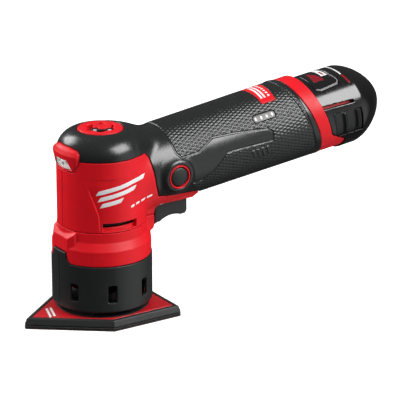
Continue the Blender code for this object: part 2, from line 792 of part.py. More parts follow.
def make_motor(parts, tools):
    teeth = []
    for i in range(6):
        start = 60.0 * i
        teeth += arc((0.0, 0.0), STATOR_BORE_R, start, start + 40.0, 3)
        teeth += arc((0.0, 0.0), 16.8 * MM, start + 41.0, start + 59.0, 2)
    outer = circle(STATOR_R, ROUND)
    stator = plate("motor_stator", [outer, teeth], STATOR_LOW_Z, STATOR_HIGH_Z, PLAN_VIEW, parts)
    finish(stator, STEEL)
    for word, low in (("bottom", STATOR_LOW_Z - GAP - WINDING_T), ("top", STATOR_HIGH_Z + GAP)):
        name = "winding_" + word
        finish(ring(name, 12.4 * MM, 20.4 * MM, low, low + WINDING_T, PLAN_VIEW, parts, 24), COPPER)

    plate_profile = [
        (27.9 * MM, 48.0 * MM),
        (27.9 * MM, POST_TOP_Z + GAP),
        (17.0 * MM, POST_TOP_Z + GAP),
        (15.0 * MM, 37.0 * MM),
        (9.8 * MM, 37.0 * MM),
        (9.8 * MM, 48.0 * MM),
    ]
    finish(lathe("bearing_plate", plate_profile, PLAN_VIEW, parts, closed=True), ALUMINIUM)
    bore = SHAFT_R + GAP
    finish(ring("lower_bearing", bore, 9.5 * MM, 41.0 * MM, 47.0 * MM, PLAN_VIEW, parts, 20), STEEL)
    finish(ring("upper_bearing", bore, 9.5 * MM, 101.5 * MM, 107.0 * MM, PLAN_VIEW, parts, 20), STEEL)

    profile = [
        (0.0, 107.5 * MM),
        (SHAFT_R, 107.5 * MM),
        (SHAFT_R, 33.0 * MM),
        (8.0 * MM, 31.0 * MM),
        (8.0 * MM, 20.0 * MM),
        (0.0, 20.0 * MM),
    ]
    spindle = lathe("spindle", profile, PLAN_VIEW, parts, 20)
    pin_frame = Matrix.Translation((ECCENTRIC, 0.0, 0.0))
    join(spindle, rod("tool_eccentric_pin", 3.0 * MM, 8.2 * MM, 21.0 * MM, pin_frame, tools))
    finish(spindle, STEEL)
    rotor = ring("motor_rotor", bore, ROTOR_R, STATOR_LOW_Z, STATOR_HIGH_Z, PLAN_VIEW, parts, 24)
    finish(rotor, STEEL)
    fan = make_fan(parts)
    weight = make_counterweight(parts)
    return [spindle, rotor, fan, weight]


def make_fan(parts):
    """Flat fan: a hub with swept blades, drawn in plan."""
    blades = 9
    outline = []
    for i in range(blades):
        start = 360.0 * i / blades
        outline += arc((0.0, 0.0), 7.5 * MM, start, start + 30.0, 1)
        outline += arc((0.0, 0.0), 20.5 * MM, start + 22.0, start + 30.0, 1)
    hole = circle(SHAFT_R + GAP, SMALL)
    fan = plate("cooling_fan", [outline, hole], 52.0 * MM, 58.0 * MM, PLAN_VIEW, parts)
    return finish(fan, CHARCOAL)


def make_counterweight(parts):
    """Clamped on the spindle's foot, heavy on the side away from the eccentric pin."""
    outline = arc((0.0, 0.0), 10.5 * MM, -70.0, 70.0, 6)
    outline += arc((0.0, 0.0), 21.2 * MM, 92.0, 268.0, 12)
    hole = circle(8.0 * MM + GAP, 20)
    weight = plate("counterweight", [outline, hole], 20.0 * MM, 31.0 * MM, PLAN_VIEW, parts)
    return finish(weight, STEEL)


# ---------------------------------------------------------------- pad

def pad_outline():
    return [
        (PAD_TIP_X, 0.0),
        (PAD_CORNER_X, -PAD_HALF_WIDTH),
        (PAD_REAR_X, -PAD_HALF_WIDTH),
        (PAD_REAR_X, PAD_HALF_WIDTH),
        (PAD_CORNER_X, PAD_HALF_WIDTH),
    ]


def pad_ring(inset, z, radius):
    points = rounded(offset(pad_outline(), inset), radius)
    return [(x, y, z) for x, y in points]


def make_pad(parts, tools):
    draft = PAD_DRAFT
    hook_low = SHEET_T + GAP
    cushion_low = hook_low + HOOK_T + GAP
    cushion_high = PAD_TOP_Z - 0.3 * MM
    layers = (
        ("abrasive_sheet", 0.0, SHEET_T, ABRASIVE),
        ("hook_sheet", hook_low, hook_low + HOOK_T, HOOK),
    )
    made = []
    for name, low, high, look in layers:
        rings = [pad_ring(0.1 * MM, low, PAD_CORNER_R), pad_ring(0.1 * MM, high, PAD_CORNER_R)]
        made.append(finish(loft(name, rings, parts), look))
    rings = [
        pad_ring(0.0, cushion_low, PAD_CORNER_R),
        pad_ring(draft, cushion_high, PAD_CORNER_R),
    ]
    cushion = loft("pad_cushion", rings, parts)
    pocket_low = PAD_TOP_Z - PLATE_T - GAP
    inset = PLATE_INSET
    rings = [pad_ring(inset, pocket_low, PAD_CORNER_R), pad_ring(inset, 12.0 * MM, PAD_CORNER_R)]
    cut(cushion, loft("tool_plate_pocket", rings, tools))
    made.append(finish(cushion, CHARCOAL))
    inset = PLATE_INSET + GAP
    rings = [
        pad_ring(inset, PAD_TOP_Z - PLATE_T, PAD_CORNER_R),
        pad_ring(inset, PAD_TOP_Z, PAD_CORNER_R),
    ]
    top_plate = loft("pad_top_plate", rings, parts)
    made.append(top_plate)

    centre = Matrix.Translation((ECCENTRIC, 0.0, 0.0))
    carrier_low = PAD_TOP_Z + GAP
    profile = [
        (9.6 * MM, 15.5 * MM),
        (12.0 * MM, 15.5 * MM),
        (12.0 * MM, 11.0 * MM),
        (17.0 * MM, 10.0 * MM),
        (17.0 * MM, carrier_low),
        (9.6 * MM, carrier_low),
    ]
    carrier = lathe("pad_carrier", profile, centre, parts, 24, closed=True)
    bearing = ring("pad_bearing", 3.3 * MM, 9.3 * MM, 8.4 * MM, 14.5 * MM, centre, parts, 20)
    finish(bearing, STEEL)
    made += [carrier, bearing]
    for i in range(3):
        turn = math.radians(60.0 + 120.0 * i)
        x, y = ECCENTRIC + 14.5 * MM * math.cos(turn), 14.5 * MM * math.sin(turn)
        frame = Matrix.Translation((x, y, 0.0))
        hole = rod(f"tool_pad_hole_{i}", 1.7 * MM, 3.0 * MM, 18.0 * MM, frame, tools, 8)
        cut(carrier, hole)
        cut(top_plate, hole)
        profile = [
            (0.0, 12.6 * MM),
            (2.3 * MM, 12.6 * MM),
            (2.3 * MM, 10.9 * MM),
            (1.35 * MM, 10.9 * MM),
            (1.35 * MM, 5.4 * MM),
            (0.0, 5.4 * MM),
        ]
        made.append(finish(lathe(f"pad_screw_{i + 1}", profile, frame, parts, 8), STEEL))
    finish(carrier, ALUMINIUM)
    finish(top_plate, RED)
    return made


def make_orbit_posts(parts):
    """Flexible posts that stop the pad from turning while it orbits."""
    for i in range(4):
        turn = math.radians(45.0 + 90.0 * i)
        frame = Matrix.Translation((24.2 * MM * math.cos(turn), 24.2 * MM * math.sin(turn), 0.0))
        low, high = PAD_TOP_Z + GAP, POST_TOP_Z
        finish(rod(f"orbit_post_{i + 1}", 2.2 * MM, low, high, frame, parts, 10), RUBBER)


# ---------------------------------------------------------------- controls

def make_trigger(parts, tools):
    front, rear = 32.7 * MM, 57.0 * MM
    outline = [(front, 52.0 * MM)]
    outline += arc((46.6 * MM, 40.0 * MM), 16.0 * MM, 118.0, 78.0, 5)
    outline += arc((54.2 * MM, 57.8 * MM), 2.8 * MM, -90.0, 0.0, 3)
    outline += [(rear, 68.4 * MM), (front + 0.3 * MM, 68.4 * MM)]
    trigger = plate("trigger", [outline], -TRIGGER_HALF, TRIGGER_HALF, SIDE_VIEW, parts)
    frame = along_y(TRIGGER_PIVOT[0], 0.0, TRIGGER_PIVOT[1])
    cut(trigger, rod("tool_trigger_bore", 1.5 * MM, -12.0 * MM, 12.0 * MM, frame, tools))
    finish(trigger, CHARCOAL)
    finish(rod("trigger_pin", 1.2 * MM, -10.6 * MM, 10.6 * MM, frame, parts, 8), STEEL)
    low, high = (39.0 * MM, -8.0 * MM, 76.5 * MM), (59.0 * MM, 8.0 * MM, 92.0 * MM)
    finish(box("switch_module", low, high, Matrix.Identity(4), parts, 0.8 * MM), CHARCOAL)
    spring_frame = Matrix.Translation((50.0 * MM, 0.0, 68.7 * MM))
    finish(coil("trigger_spring", 2.4 * MM, 0.35 * MM, 7.0 * MM, 4, spring_frame, parts), STEEL)
    return [trigger]


def make_button(parts):
    frame = along_y(BUTTON_X, 0.0, BUTTON_Z)
    face, back = -27.0 * MM, -19.5 * MM
    profile = [
        (0.0, back),
        (BUTTON_R, back),
        (BUTTON_R, face + 1.2 * MM),
        (BUTTON_R - 1.5 * MM, face + 0.3 * MM),
        (0.0, face),
    ]
    button = finish(lathe("lock_button", profile, frame, parts, 20), CHARCOAL)
    spring_frame = along_y(BUTTON_X + 2.5 * MM, -19.0 * MM, BUTTON_Z)
    finish(coil("button_spring", 2.6 * MM, 0.35 * MM, 10.3 * MM, 5, spring_frame, parts), STEEL)
    return [button]


def make_electronics(parts):
    low, high = (63.0 * MM, -16.0 * MM, 8.0 * MM), (94.0 * MM, 16.0 * MM, 9.6 * MM)
    finish(box("control_board", low, high, GRIP_TOP, parts), BOARD_GREEN)
    low, high = (97.0 * MM, -11.0 * MM, -9.0 * MM), (104.5 * MM, 11.0 * MM, 9.0 * MM)
    finish(box("terminal_block", low, high, GRIP_TOP, parts, 0.8 * MM), CHARCOAL)


# ---------------------------------------------------------------- battery pack

def pack_profile(inset):
    """Half outline of the pack's head, (radius, s): a blunt rounded end on a straight wall."""
    radius = PACK_R - inset
    depth = PACK_END_S - PACK_DOME_S - inset
    power = 2.0 / PACK_DOME_POWER
    points = [(0.0, PACK_END_S - inset)]
    for i in range(1, 7):
        turn = math.radians(90.0 * i / 7)
        bulge, height = math.sin(turn) ** power, math.cos(turn) ** power
        points.append((radius * bulge, PACK_DOME_S + depth * height))
    return points + [(radius, PACK_DOME_S)]


def latch_zone(name, side, grow, tools):
    """Side panel of the pack's head that the latch fills, in side view."""
    low = (157.0 * MM - grow, -13.0 * MM - grow)
    high = (LATCH_PIVOT_S + grow, 3.6 * MM + grow)
    shape = rounded(rectangle(low, high), 1.5 * MM, 2)
    near, far = sorted((-side * 12.0 * MM, -side * 40.0 * MM))
    return plate(name, [shape], near, far, GRIP_SIDE, tools)


def slit_tool(side, tools):
    """Narrow slit above each latch, through which the red core shows."""
    low, high = (146.0 * MM, 7.4 * MM), (174.0 * MM, 9.4 * MM)
    near, far = sorted((-side * 15.0 * MM, -side * 40.0 * MM))
    word = "left" if side < 0 else "right"
    return plate("tool_slit_" + word, [rectangle(low, high)], near, far, GRIP_SIDE, tools)


def panel_piece(name, grow, inside, outside, collection, tools):
    """Curved eight-sided panel on top of the pack's head."""
    half = [(10.0, 152.0), (16.0, 158.0), (16.0, 167.0), (12.0, 171.0)]
    outline = offset(mirrored([(y * MM, s * MM) for y, s in half]), -grow)
    shape = [(s, y) for y, s in reversed(outline)]
    low, high = 150.0 * MM, 174.0 * MM
    panel = ring(name, inside, outside, low, high, PACK_LATHE, collection, 2 * ROUND)
    keep(panel, plate(name + "_shape", [shape], 8.0 * MM, 40.0 * MM, GRIP_TOP, tools))
    return panel


def make_pack(parts, tools):
    stem_in = PACK_STEM_R - 1.5 * MM
    stem = ring("pack_stem", stem_in, PACK_STEM_R, PACK_STEM_S, PACK_SPLIT_S, GRIP_LATHE, parts)
    finish(stem, CHARCOAL)
    nose = rod("pack_nose", stem_in - GAP, PACK_STEM_S, PACK_STEM_S + 2.0 * MM, GRIP_LATHE, parts, 24)
    finish(nose, CHARCOAL)

    start = PACK_SPLIT_S + GAP
    outer = pack_profile(0.0) + [(PACK_R, start), (0.0, start)]
    head = lathe("pack_head", outer, PACK_LATHE, parts)
    keep(head, grip_end_region("tool_pack_outside", -GAP / 2.0, tools))
    inner = pack_profile(PACK_WALL) + [(PACK_R - PACK_WALL, 149.5 * MM), (0.0, 149.5 * MM)]
    mouth = rod("tool_pack_mouth", stem_in, start - 5.0 * MM, 152.0 * MM, GRIP_LATHE, tools, ROUND)
    cut(head, lathe("tool_pack_hollow", inner, PACK_LATHE, tools), mouth)
    core_in = CELL_RING_R + CELL_R + GAP
    core = ring("pack_core", core_in, core_in + 1.0 * MM, 150.0 * MM, 176.0 * MM, GRIP_LATHE, parts)
    finish(core, RED)
    cut(head, *[slit_tool(side, tools) for side in (-1, 1)])
    seat = panel_piece("tool_panel_seat", GAP, PACK_R - 1.0 * MM, PACK_R + 5.0 * MM, tools, tools)
    cut(head, hide_tool(seat))

    latches = []
    for side, word in ((-1, "left"), (1, "right")):
        cut(head, latch_zone("tool_latch_hole_" + word, side, GAP, tools))
        inside, outside = PACK_R - 1.9 * MM, PACK_R - 0.3 * MM
        profile = [(outside, 182.0 * MM)]
        for crest in (175.5 * MM, 165.5 * MM):
            profile.append((outside, crest + 2.0 * MM))
            profile.append((outside + 1.0 * MM, crest))
            profile.append((outside, crest - 2.0 * MM))
        profile += [(outside, 150.0 * MM), (inside, 150.0 * MM), (inside, 182.0 * MM)]
        latch = lathe("latch_" + word, profile, PACK_LATHE, parts, closed=True)
        keep(latch, latch_zone("tool_latch_" + word, side, 0.0, tools))
        latches.append(finish(latch, CHARCOAL))
    finish(head, GLOSS_BLACK)

    cells = []
    for i in range(3):
        turn = math.radians(60.0 + 120.0 * i)
        x, y = CELL_RING_R * math.cos(turn), CELL_RING_R * math.sin(turn)
        frame = GRIP_LATHE @ Matrix.Translation((x, y, 0.0))
        low = PACK_STEM_S + 3.0 * MM
        cell = rod(f"cell_{i + 1}", CELL_R, low, low + CELL_LENGTH, frame, parts, 16)
        cells.append(finish(cell, CELL_SLEEVE))
    panel = panel_piece("pack_panel", 0.0, PACK_R - 0.7 * MM, PACK_R + 0.3 * MM, parts, tools)
    finish(panel, GLOSS_BLACK)
    return [stem, nose, head, core, panel] + cells, latches


# ---------------------------------------------------------------- bodies that move

def group(name, place_at, pieces, parts, parent=None):
    """Hang moving pieces on an empty that lies on their joint's axis."""
    holder = bpy.data.objects.new(name + "_axis", None)
    holder.location = place_at
    holder.empty_display_size = 0.01
    parts.objects.link(holder)
    bpy.context.view_layer.update()
    if parent is not None:
        attach(holder, parent)
    for piece in pieces:
        attach(piece, holder)
    return holder


def attach(child, parent):
    bpy.context.view_layer.update()
    child.parent = parent
    child.matrix_parent_inverse = parent.matrix_world.inverted()


def main():
    clear_scene()
    parts = new_collection("detail_sander")
    tools = new_collection("cutters")

    make_shells(parts, tools)
    make_trim(parts, tools)
    make_screws(parts)
    make_collar(parts, tools)
    make_skirt(parts, tools)
    make_light(parts, tools)
    make_orbit_posts(parts)
    make_electronics(parts)
    dial = make_dial(parts, tools)
    drive = make_motor(parts, tools)
    pad = make_pad(parts, tools)
    trigger = make_trigger(parts, tools)
    button = make_button(parts)
    pack, latches = make_pack(parts, tools)

    group("dial", (0.0, 0.0, DOME_TOP_Z), dial, parts)
    spindle_axis = group("spindle", (0.0, 0.0, 20.0 * MM), drive, parts)
    group("pad", (ECCENTRIC, 0.0, 10.0 * MM), pad, parts, spindle_axis)
    group("trigger", (TRIGGER_PIVOT[0], 0.0, TRIGGER_PIVOT[1]), trigger, parts)
    group("lock", (BUTTON_X, -27.0 * MM, BUTTON_Z), button, parts)
    pack_axis = group("pack", (GRIP_TOP @ Vector((PACK_SPLIT_S, 0.0, 0.0))), pack, parts)
    for latch, side, word in zip(latches, (-1, 1), ("left", "right")):
        pivot = GRIP_TOP @ Vector((LATCH_PIVOT_S, side * 24.0 * MM, 0.0))
        group("latch_" + word, pivot, [latch], parts, pack_axis)


main()
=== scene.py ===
import json
import math

import bmesh
import bpy
import numpy as np
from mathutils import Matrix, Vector


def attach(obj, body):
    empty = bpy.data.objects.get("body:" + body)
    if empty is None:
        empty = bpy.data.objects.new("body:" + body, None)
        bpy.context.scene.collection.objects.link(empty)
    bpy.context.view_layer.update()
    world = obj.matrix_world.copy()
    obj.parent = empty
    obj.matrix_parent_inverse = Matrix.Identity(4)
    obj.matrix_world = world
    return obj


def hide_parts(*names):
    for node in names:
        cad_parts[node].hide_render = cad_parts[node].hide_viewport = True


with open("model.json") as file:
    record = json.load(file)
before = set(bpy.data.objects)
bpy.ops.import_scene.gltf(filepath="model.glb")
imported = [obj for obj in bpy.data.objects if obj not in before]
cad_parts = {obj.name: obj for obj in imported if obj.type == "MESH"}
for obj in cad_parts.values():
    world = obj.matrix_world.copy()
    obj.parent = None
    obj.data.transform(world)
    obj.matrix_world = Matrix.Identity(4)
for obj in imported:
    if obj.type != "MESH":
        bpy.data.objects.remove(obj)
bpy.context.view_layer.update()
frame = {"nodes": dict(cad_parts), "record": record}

MM = 0.001

# Lengths below are in millimetres, as numpy fields; meshes are scaled to metres when they are made.
HEAD_R, DOME_TOP, DOME_FILLET = 27.0, 118.4, 14.0
AXIS_Z, AXIS_RISE = 84.4, math.radians(6.75)
RISE_SIN, RISE_COS = math.sin(AXIS_RISE), math.cos(AXIS_RISE)
RUBBER_T, WALL = 1.3, 3.2
SEAM_Z = 60.0
PACK_R, PACK_DROP, PACK_DOME_S, PACK_END_S, PACK_POWER = 25.4, 2.2, 179.5, 206.3, 1.55
BUTTON_X, BUTTON_Z = 40.0, 87.0
ECCENTRIC = 1.2
PACK_WALL = 1.9
SKIRT_R, SLOT_START = 30.9, 19.1

# Limits that keep a cut to one side of the tool: above this height, outside this |y|, in front of this x.
DIAL_WELL_Z, SIDE_Y, LIGHT_BACK_X = 110.0, 15.0, -12.0

BLOCK = 4
COARSE = 1.0


# ---------------------------------------------------------------- fields: negative inside a solid

def soft_min(a, b, k):
    h = np.maximum(k - np.abs(a - b), 0.0) / k
    return np.minimum(a, b) - h * h * k * 0.25


def soft_max(a, b, k):
    return -soft_min(-a, -b, k)


def meet(k, *fields):
    """What all fields share, with edges rounded over about k."""
    result = fields[0]
    for field in fields[1:]:
        result = soft_max(result, field, k)
    return result


def less(a, b, k=0.5):
    """Field a with field b taken out of it."""
    return soft_max(a, -b, k)


def ramp(low, high, value):
    t = np.clip((value - low) / (high - low), 0.0, 1.0)
    return t * t * (3.0 - 2.0 * t)


def polygon(points, a, b):
    """Signed distance to a closed outline in a plane."""
    nearest = np.full(a.shape, 1e9)
    inside = np.zeros(a.shape, bool)
    for (a0, b0), (a1, b1) in zip(points, points[1:] + points[:1]):
        da, db = a1 - a0, b1 - b0
        t = np.clip(((a - a0) * da + (b - b0) * db) / (da * da + db * db), 0.0, 1.0)
        nearest = np.minimum(nearest, (a - a0 - t * da) ** 2 + (b - b0 - t * db) ** 2)
        crosses = (b0 > b) != (b1 > b)
        if db != 0.0:
            inside ^= crosses & (a < a0 + (b - b0) * da / db)
    return np.where(inside, -1.0, 1.0) * np.sqrt(nearest)


def convex(points, a, b):
    """Like polygon for a convex, anticlockwise outline, with sharp corners kept outside it."""
    result = np.full(a.shape, -1e9)
    for (a0, b0), (a1, b1) in zip(points, points[1:] + points[:1]):
        size = math.hypot(a1 - a0, b1 - b0)
        result = np.maximum(result, ((a - a0) * (b1 - b0) - (b - b0) * (a1 - a0)) / size)
    return result


def brick(x, y, z, low, high, radius=0.0):
    sizes = [(h - l) / 2.0 - radius for l, h in zip(low, high)]
    away = [np.abs(v - (l + h) / 2.0) - s for v, l, h, s in zip((x, y, z), low, high, sizes)]
    outside = np.sqrt(sum(np.maximum(v, 0.0) ** 2 for v in away))
    return outside + np.minimum(np.maximum(np.maximum(away[0], away[1]), away[2]), 0.0) - radius


def slab(value, low, high):
    return np.abs(value - (low + high) / 2.0) - (high - low) / 2.0


def along(x, z):
    """Distance along the grip's axis, and height above it."""
    return x * RISE_COS + (z - AXIS_Z) * RISE_SIN, (z - AXIS_Z) * RISE_COS - x * RISE_SIN


# ---------------------------------------------------------------- meshes from fields

def sample(shape, low, high, pitch):
    """Values of a field on a grid, worked out exactly only near the surface."""
    low, high = np.array(low, float), np.array(high, float)
    counts = np.ceil((high - low) / (pitch * BLOCK)).astype(int)
    middles = [low[i] + (np.arange(counts[i]) + 0.5) * BLOCK * pitch for i in range(3)]
    centres = np.meshgrid(*middles, indexing="ij")
    rough = shape(*[c.ravel() for c in centres]).reshape(counts)
    near = np.abs(rough) < 1.1 * BLOCK * pitch + 1.2
    field = np.zeros(counts * BLOCK + 1, np.float32)
    wanted = np.zeros(field.shape, bool)
    core = (slice(None, -1),) * 3
    spread = rough
    marks = near
    for axis in range(3):
        spread = np.repeat(spread, BLOCK, axis)
        marks = np.repeat(marks, BLOCK, axis)
    field[core] = spread
    for i in range(8):
        place = tuple(slice(None, -1) if not i >> axis & 1 else slice(1, None) for axis in range(3))
        wanted[place] |= marks
    for axis in range(3):
        last = [slice(None)] * 3
        before = [slice(None)] * 3
        last[axis], before[axis] = -1, -2
        field[tuple(last)] = field[tuple(before)]
    places = np.argwhere(wanted)
    values = np.empty(len(places), np.float32)
    for start in range(0, len(places), 400000):
        part = slice(start, start + 400000)
        values[part] = shape(*(low[:, None] + places[part].T * pitch))
    field[wanted] = values
    return field, low


def skin(field, low, pitch):
    """Quads round the places where a sampled field changes sign."""
    inside = field < 0.0
    cells = [n - 1 for n in field.shape]
    corners, points = [], []
    for axis in range(3):
        lower, upper = [slice(None)] * 3, [slice(None)] * 3
        lower[axis], upper[axis] = slice(None, -1), slice(1, None)
        first, second = field[tuple(lower)], field[tuple(upper)]
        places = np.argwhere(inside[tuple(lower)] != inside[tuple(upper)])
        index = tuple(places.T)
        f0, f1 = first[index], second[index]
        point = places.astype(float)
        point[:, axis] += f0 / (f0 - f1)
        u, v = (axis + 1) % 3, (axis + 2) % 3
        ring = []
        for du, dv in ((-1, -1), (0, -1), (0, 0), (-1, 0)):
            cell = places.copy()
            cell[:, u] += du
            cell[:, v] += dv
            ring.append((cell[:, 0] * cells[1] + cell[:, 1]) * cells[2] + cell[:, 2])
        ring = np.stack(ring, 1)
        flip = f0 >= 0.0
        ring[flip] = ring[flip][:, ::-1]
        corners.append(ring)
        points.append(point)
    corners = np.concatenate(corners)
    points = np.repeat(np.concatenate(points), 4, 0)
    quads = np.unique(corners.ravel(), return_inverse=True)[1]
    shares = np.bincount(quads)
    middle = [np.bincount(quads, points[:, i]) / shares for i in range(3)]
    return low + np.stack(middle, 1) * pitch, quads.reshape(-1, 4)


def slopes(shape, points, reach=0.04):
    """Gradient of a field at some points, from four samples round each."""
    total = np.zeros(points.shape)
    for corner in ((1, -1, -1), (-1, -1, 1), (-1, 1, -1), (1, 1, 1)):
        corner = np.array(corner, float)
        moved = points + corner * reach
        total += corner * shape(*moved.T)[:, None]
    return total / (4.0 * reach)


def settle(shape, points, pitch):
    """Move points onto the field's surface."""
    for _ in range(3):
        slope = slopes(shape, points)
        size = np.maximum((slope ** 2).sum(1), 0.05)
        move = -(shape(*points.T) / size)[:, None] * slope
        far = np.linalg.norm(move, axis=1)
        move *= np.minimum(1.0, 0.4 * pitch / np.maximum(far, 1e-9))[:, None]
        points = points + move
    return points


def make_mesh(name, points, quads, normals=None):
    mesh = bpy.data.meshes.new(name)
    mesh.vertices.add(len(points))
    mesh.vertices.foreach_set("co", (points * MM).astype(np.float32).ravel())
    mesh.loops.add(quads.size)
    mesh.loops.foreach_set("vertex_index", quads.astype(np.int32).ravel())
    mesh.polygons.add(len(quads))
    mesh.polygons.foreach_set("loop_start", np.arange(0, quads.size, quads.shape[1], dtype=np.int32))
    mesh.polygons.foreach_set("use_smooth", np.ones(len(quads), bool))
    mesh.update(calc_edges=True)
    if normals is not None:
        mesh.normals_split_custom_set_from_vertices(normals)
    piece = bpy.data.objects.new(name, mesh)
    bpy.context.scene.collection.objects.link(piece)
    return piece


def solid(name, shape, low, high, pitch, look, body, nodes, slot):
    """A piece from a field, which stands for some CAD nodes."""
    pitch = pitch * COARSE
    field, start = sample(shape, low, high, pitch)
    points, quads = skin(field, start, pitch)
    points = settle(shape, points, pitch)
    normal = slopes(shape, points)
    normal /= np.maximum(np.linalg.norm(normal, axis=1), 1e-9)[:, None]
    return finish(make_mesh(name, points, quads, normal), look, body, nodes, slot)


def finish(piece, look, body, nodes, slot):
    piece.data.materials.append(look)
    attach(piece, body)
    if nodes:
        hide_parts(*nodes)
    return piece


def turned(name, profile, centre, axis, look, body, nodes, slot, steps=96):
    """A lathe piece: profile is (radius, height), from the axis out and back to the axis."""
    axis = Vector(axis).normalized()
    turn = Vector((0.0, 0.0, 1.0)).rotation_difference(axis).to_matrix()
    points, faces = [], []
    inner = profile[1:-1]
    for step in range(steps):
        angle = 2.0 * math.pi * step / steps
        for radius, height in inner:
            points.append((radius * math.cos(angle), radius * math.sin(angle), height))
    count = len(inner)
    for step in range(steps):
        here, there = step * count, (step + 1) % steps * count
        for i in range(count - 1):
            faces.append((here + i, here + i + 1, there + i + 1, there + i))
    points.append((0.0, 0.0, profile[0][1]))
    points.append((0.0, 0.0, profile[-1][1]))
    first, last = len(points) - 2, len(points) - 1
    for step in range(steps):
        here, there = step * count, (step + 1) % steps * count
        faces.append((first, here, there))
        faces.append((last, there + count - 1, here + count - 1))
    mesh = bpy.data.meshes.new(name)
    places = [turn @ Vector(p) + Vector(centre) for p in points]
    mesh.from_pydata([p * MM for p in places], [], faces)
    form = bmesh.new()
    form.from_mesh(mesh)
    bmesh.ops.recalc_face_normals(form, faces=form.faces)
    form.to_mesh(mesh)
    form.free()
    mesh.shade_smooth()
    piece = bpy.data.objects.new(name, mesh)
    bpy.context.scene.collection.objects.link(piece)
    bevel = piece.modifiers.new("soft_edges", "BEVEL")
    bevel.width = 0.25 * MM
    bevel.segments = 2
    bevel.limit_method = "ANGLE"
    bevel.harden_normals = True
    return finish(piece, look, body, nodes, slot)


# ---------------------------------------------------------------- materials

def node(tree, kind, **values):
    made = tree.nodes.new(kind)
    for key, value in values.items():
        setattr(made, key, value)
    return made


def noise(tree, scale, detail=3.0, rough=0.55):
    place = tree.nodes.get("place") or node(tree, "ShaderNodeTexCoord", name="place")
    made = node(tree, "ShaderNodeTexNoise")
    made.inputs["Scale"].default_value = scale
    made.inputs["Detail"].default_value = detail
    made.inputs["Roughness"].default_value = rough
    tree.links.new(place.outputs["Object"], made.inputs["Vector"])
    return made.outputs["Fac"]


def spread(tree, value, low, high, start=0.3, stop=0.7):
    made = node(tree, "ShaderNodeMapRange")
    for name, amount in (("From Min", start), ("From Max", stop), ("To Min", low), ("To Max", high)):
        made.inputs[name].default_value = amount
    tree.links.new(value, made.inputs["Value"])
    return made.outputs["Result"]


def mixed(tree, share, first, second):
    made = node(tree, "ShaderNodeMix", data_type="RGBA")
    for index, colour in ((6, first), (7, second)):
        if isinstance(colour, tuple):
            made.inputs[index].default_value = (*colour, 1.0)
        else:
            tree.links.new(colour, made.inputs[index])
    tree.links.new(share, made.inputs[0])
    return made.outputs[2]


def moulded(name, colour, rough, grain=2600.0, depth=0.02, vary=0.08, wear=None, metal=0.0,
            specular=0.5, swing=0.08):
    """Plastic, rubber or metal: fine grain (depth in mm), slow colour drift, patchy gloss, rubbed edges."""
    look = bpy.data.materials.new(name)
    look.use_nodes = True
    tree = look.node_tree
    shader = tree.nodes["Principled BSDF"]
    shader.inputs["Metallic"].default_value = metal
    shader.inputs["Specular IOR Level"].default_value = specular
    darker = tuple(c * (1.0 - vary) for c in colour)
    lighter = tuple(min(1.0, c * (1.0 + vary)) for c in colour)
    slow = noise(tree, 45.0, 4.0)
    base = mixed(tree, spread(tree, slow, 0.0, 1.0), darker, lighter)
    if wear:
        edges = node(tree, "ShaderNodeNewGeometry").outputs["Pointiness"]
        rubbed = spread(tree, edges, 0.0, 1.0, 0.53, 0.62)
        patchy = spread(tree, noise(tree, 220.0, 5.0), 0.0, 0.45, 0.4, 0.7)
        both = node(tree, "ShaderNodeMath", operation="MULTIPLY")
        tree.links.new(rubbed, both.inputs[0])
        tree.links.new(patchy, both.inputs[1])
        base = mixed(tree, both.outputs[0], base, wear)
    tree.links.new(base, shader.inputs["Base Color"])
    patches = spread(tree, noise(tree, 160.0, 6.0, 0.65), max(rough - swing, 0.03), rough + swing)
    tree.links.new(patches, shader.inputs["Roughness"])
    bump = node(tree, "ShaderNodeBump")
    bump.inputs["Strength"].default_value = 0.6
    bump.inputs["Distance"].default_value = depth * MM
    tree.links.new(noise(tree, grain, 2.0), bump.inputs["Height"])
    tree.links.new(bump.outputs["Normal"], shader.inputs["Normal"])
    return look


RED = moulded("red_shell", (0.70, 0.007, 0.015), 0.44, wear=(0.8, 0.10, 0.11), depth=0.015, specular=0.30)
PAD_RED = moulded("pad_red", (0.52, 0.008, 0.014), 0.42, wear=(0.7, 0.1, 0.1), depth=0.02)
RUBBER = moulded("overmould_rubber", (0.011, 0.012, 0.012), 0.27, wear=(0.05, 0.05, 0.05), depth=0.02,
                 swing=0.04, specular=0.65)
CHARCOAL = moulded("charcoal_plastic", (0.015, 0.0165, 0.0165), 0.45, wear=(0.06, 0.06, 0.06), depth=0.03)
FOAM = moulded("pad_rubber", (0.018, 0.019, 0.019), 0.55, wear=(0.10, 0.10, 0.10), grain=1500.0, depth=0.06)
GLOSS = moulded("pack_gloss", (0.004, 0.004, 0.0045), 0.16, wear=(0.04, 0.04, 0.04), depth=0.006, swing=0.05,
                specular=0.7)
LATCH = moulded("latch_plastic", (0.007, 0.0075, 0.0075), 0.38, wear=(0.06, 0.06, 0.06), depth=0.02)
SMOKE = moulded("gauge_smoke", (0.045, 0.042, 0.044), 0.24, depth=0.006, swing=0.05)
DEEP_RED = moulded("print_red", (0.22, 0.004, 0.012), 0.35, depth=0.006)
# Near-black used only as painted shade: on inner parts seen through the slots and vent, and in the dial's
# well.
SHADE_BLACK = moulded("painted_shade_black", (0.025, 0.025, 0.026), 0.5, metal=0.6, wear=(0.1, 0.1, 0.1), depth=0.02)
STEEL = moulded("plated_steel", (0.48, 0.48, 0.49), 0.32, metal=1.0, wear=(0.7, 0.7, 0.7), depth=0.01)
ALUMINIUM = moulded("cast_aluminium", (0.70, 0.70, 0.71), 0.4, metal=1.0, wear=(0.9, 0.9, 0.9), depth=0.04)
COPPER = moulded("enamelled_copper", (0.30, 0.10, 0.04), 0.4, metal=1.0, wear=(0.8, 0.4, 0.2), depth=0.05)
BOARD = moulded("circuit_board", (0.02, 0.11, 0.05), 0.4, wear=(0.1, 0.2, 0.1), depth=0.02)
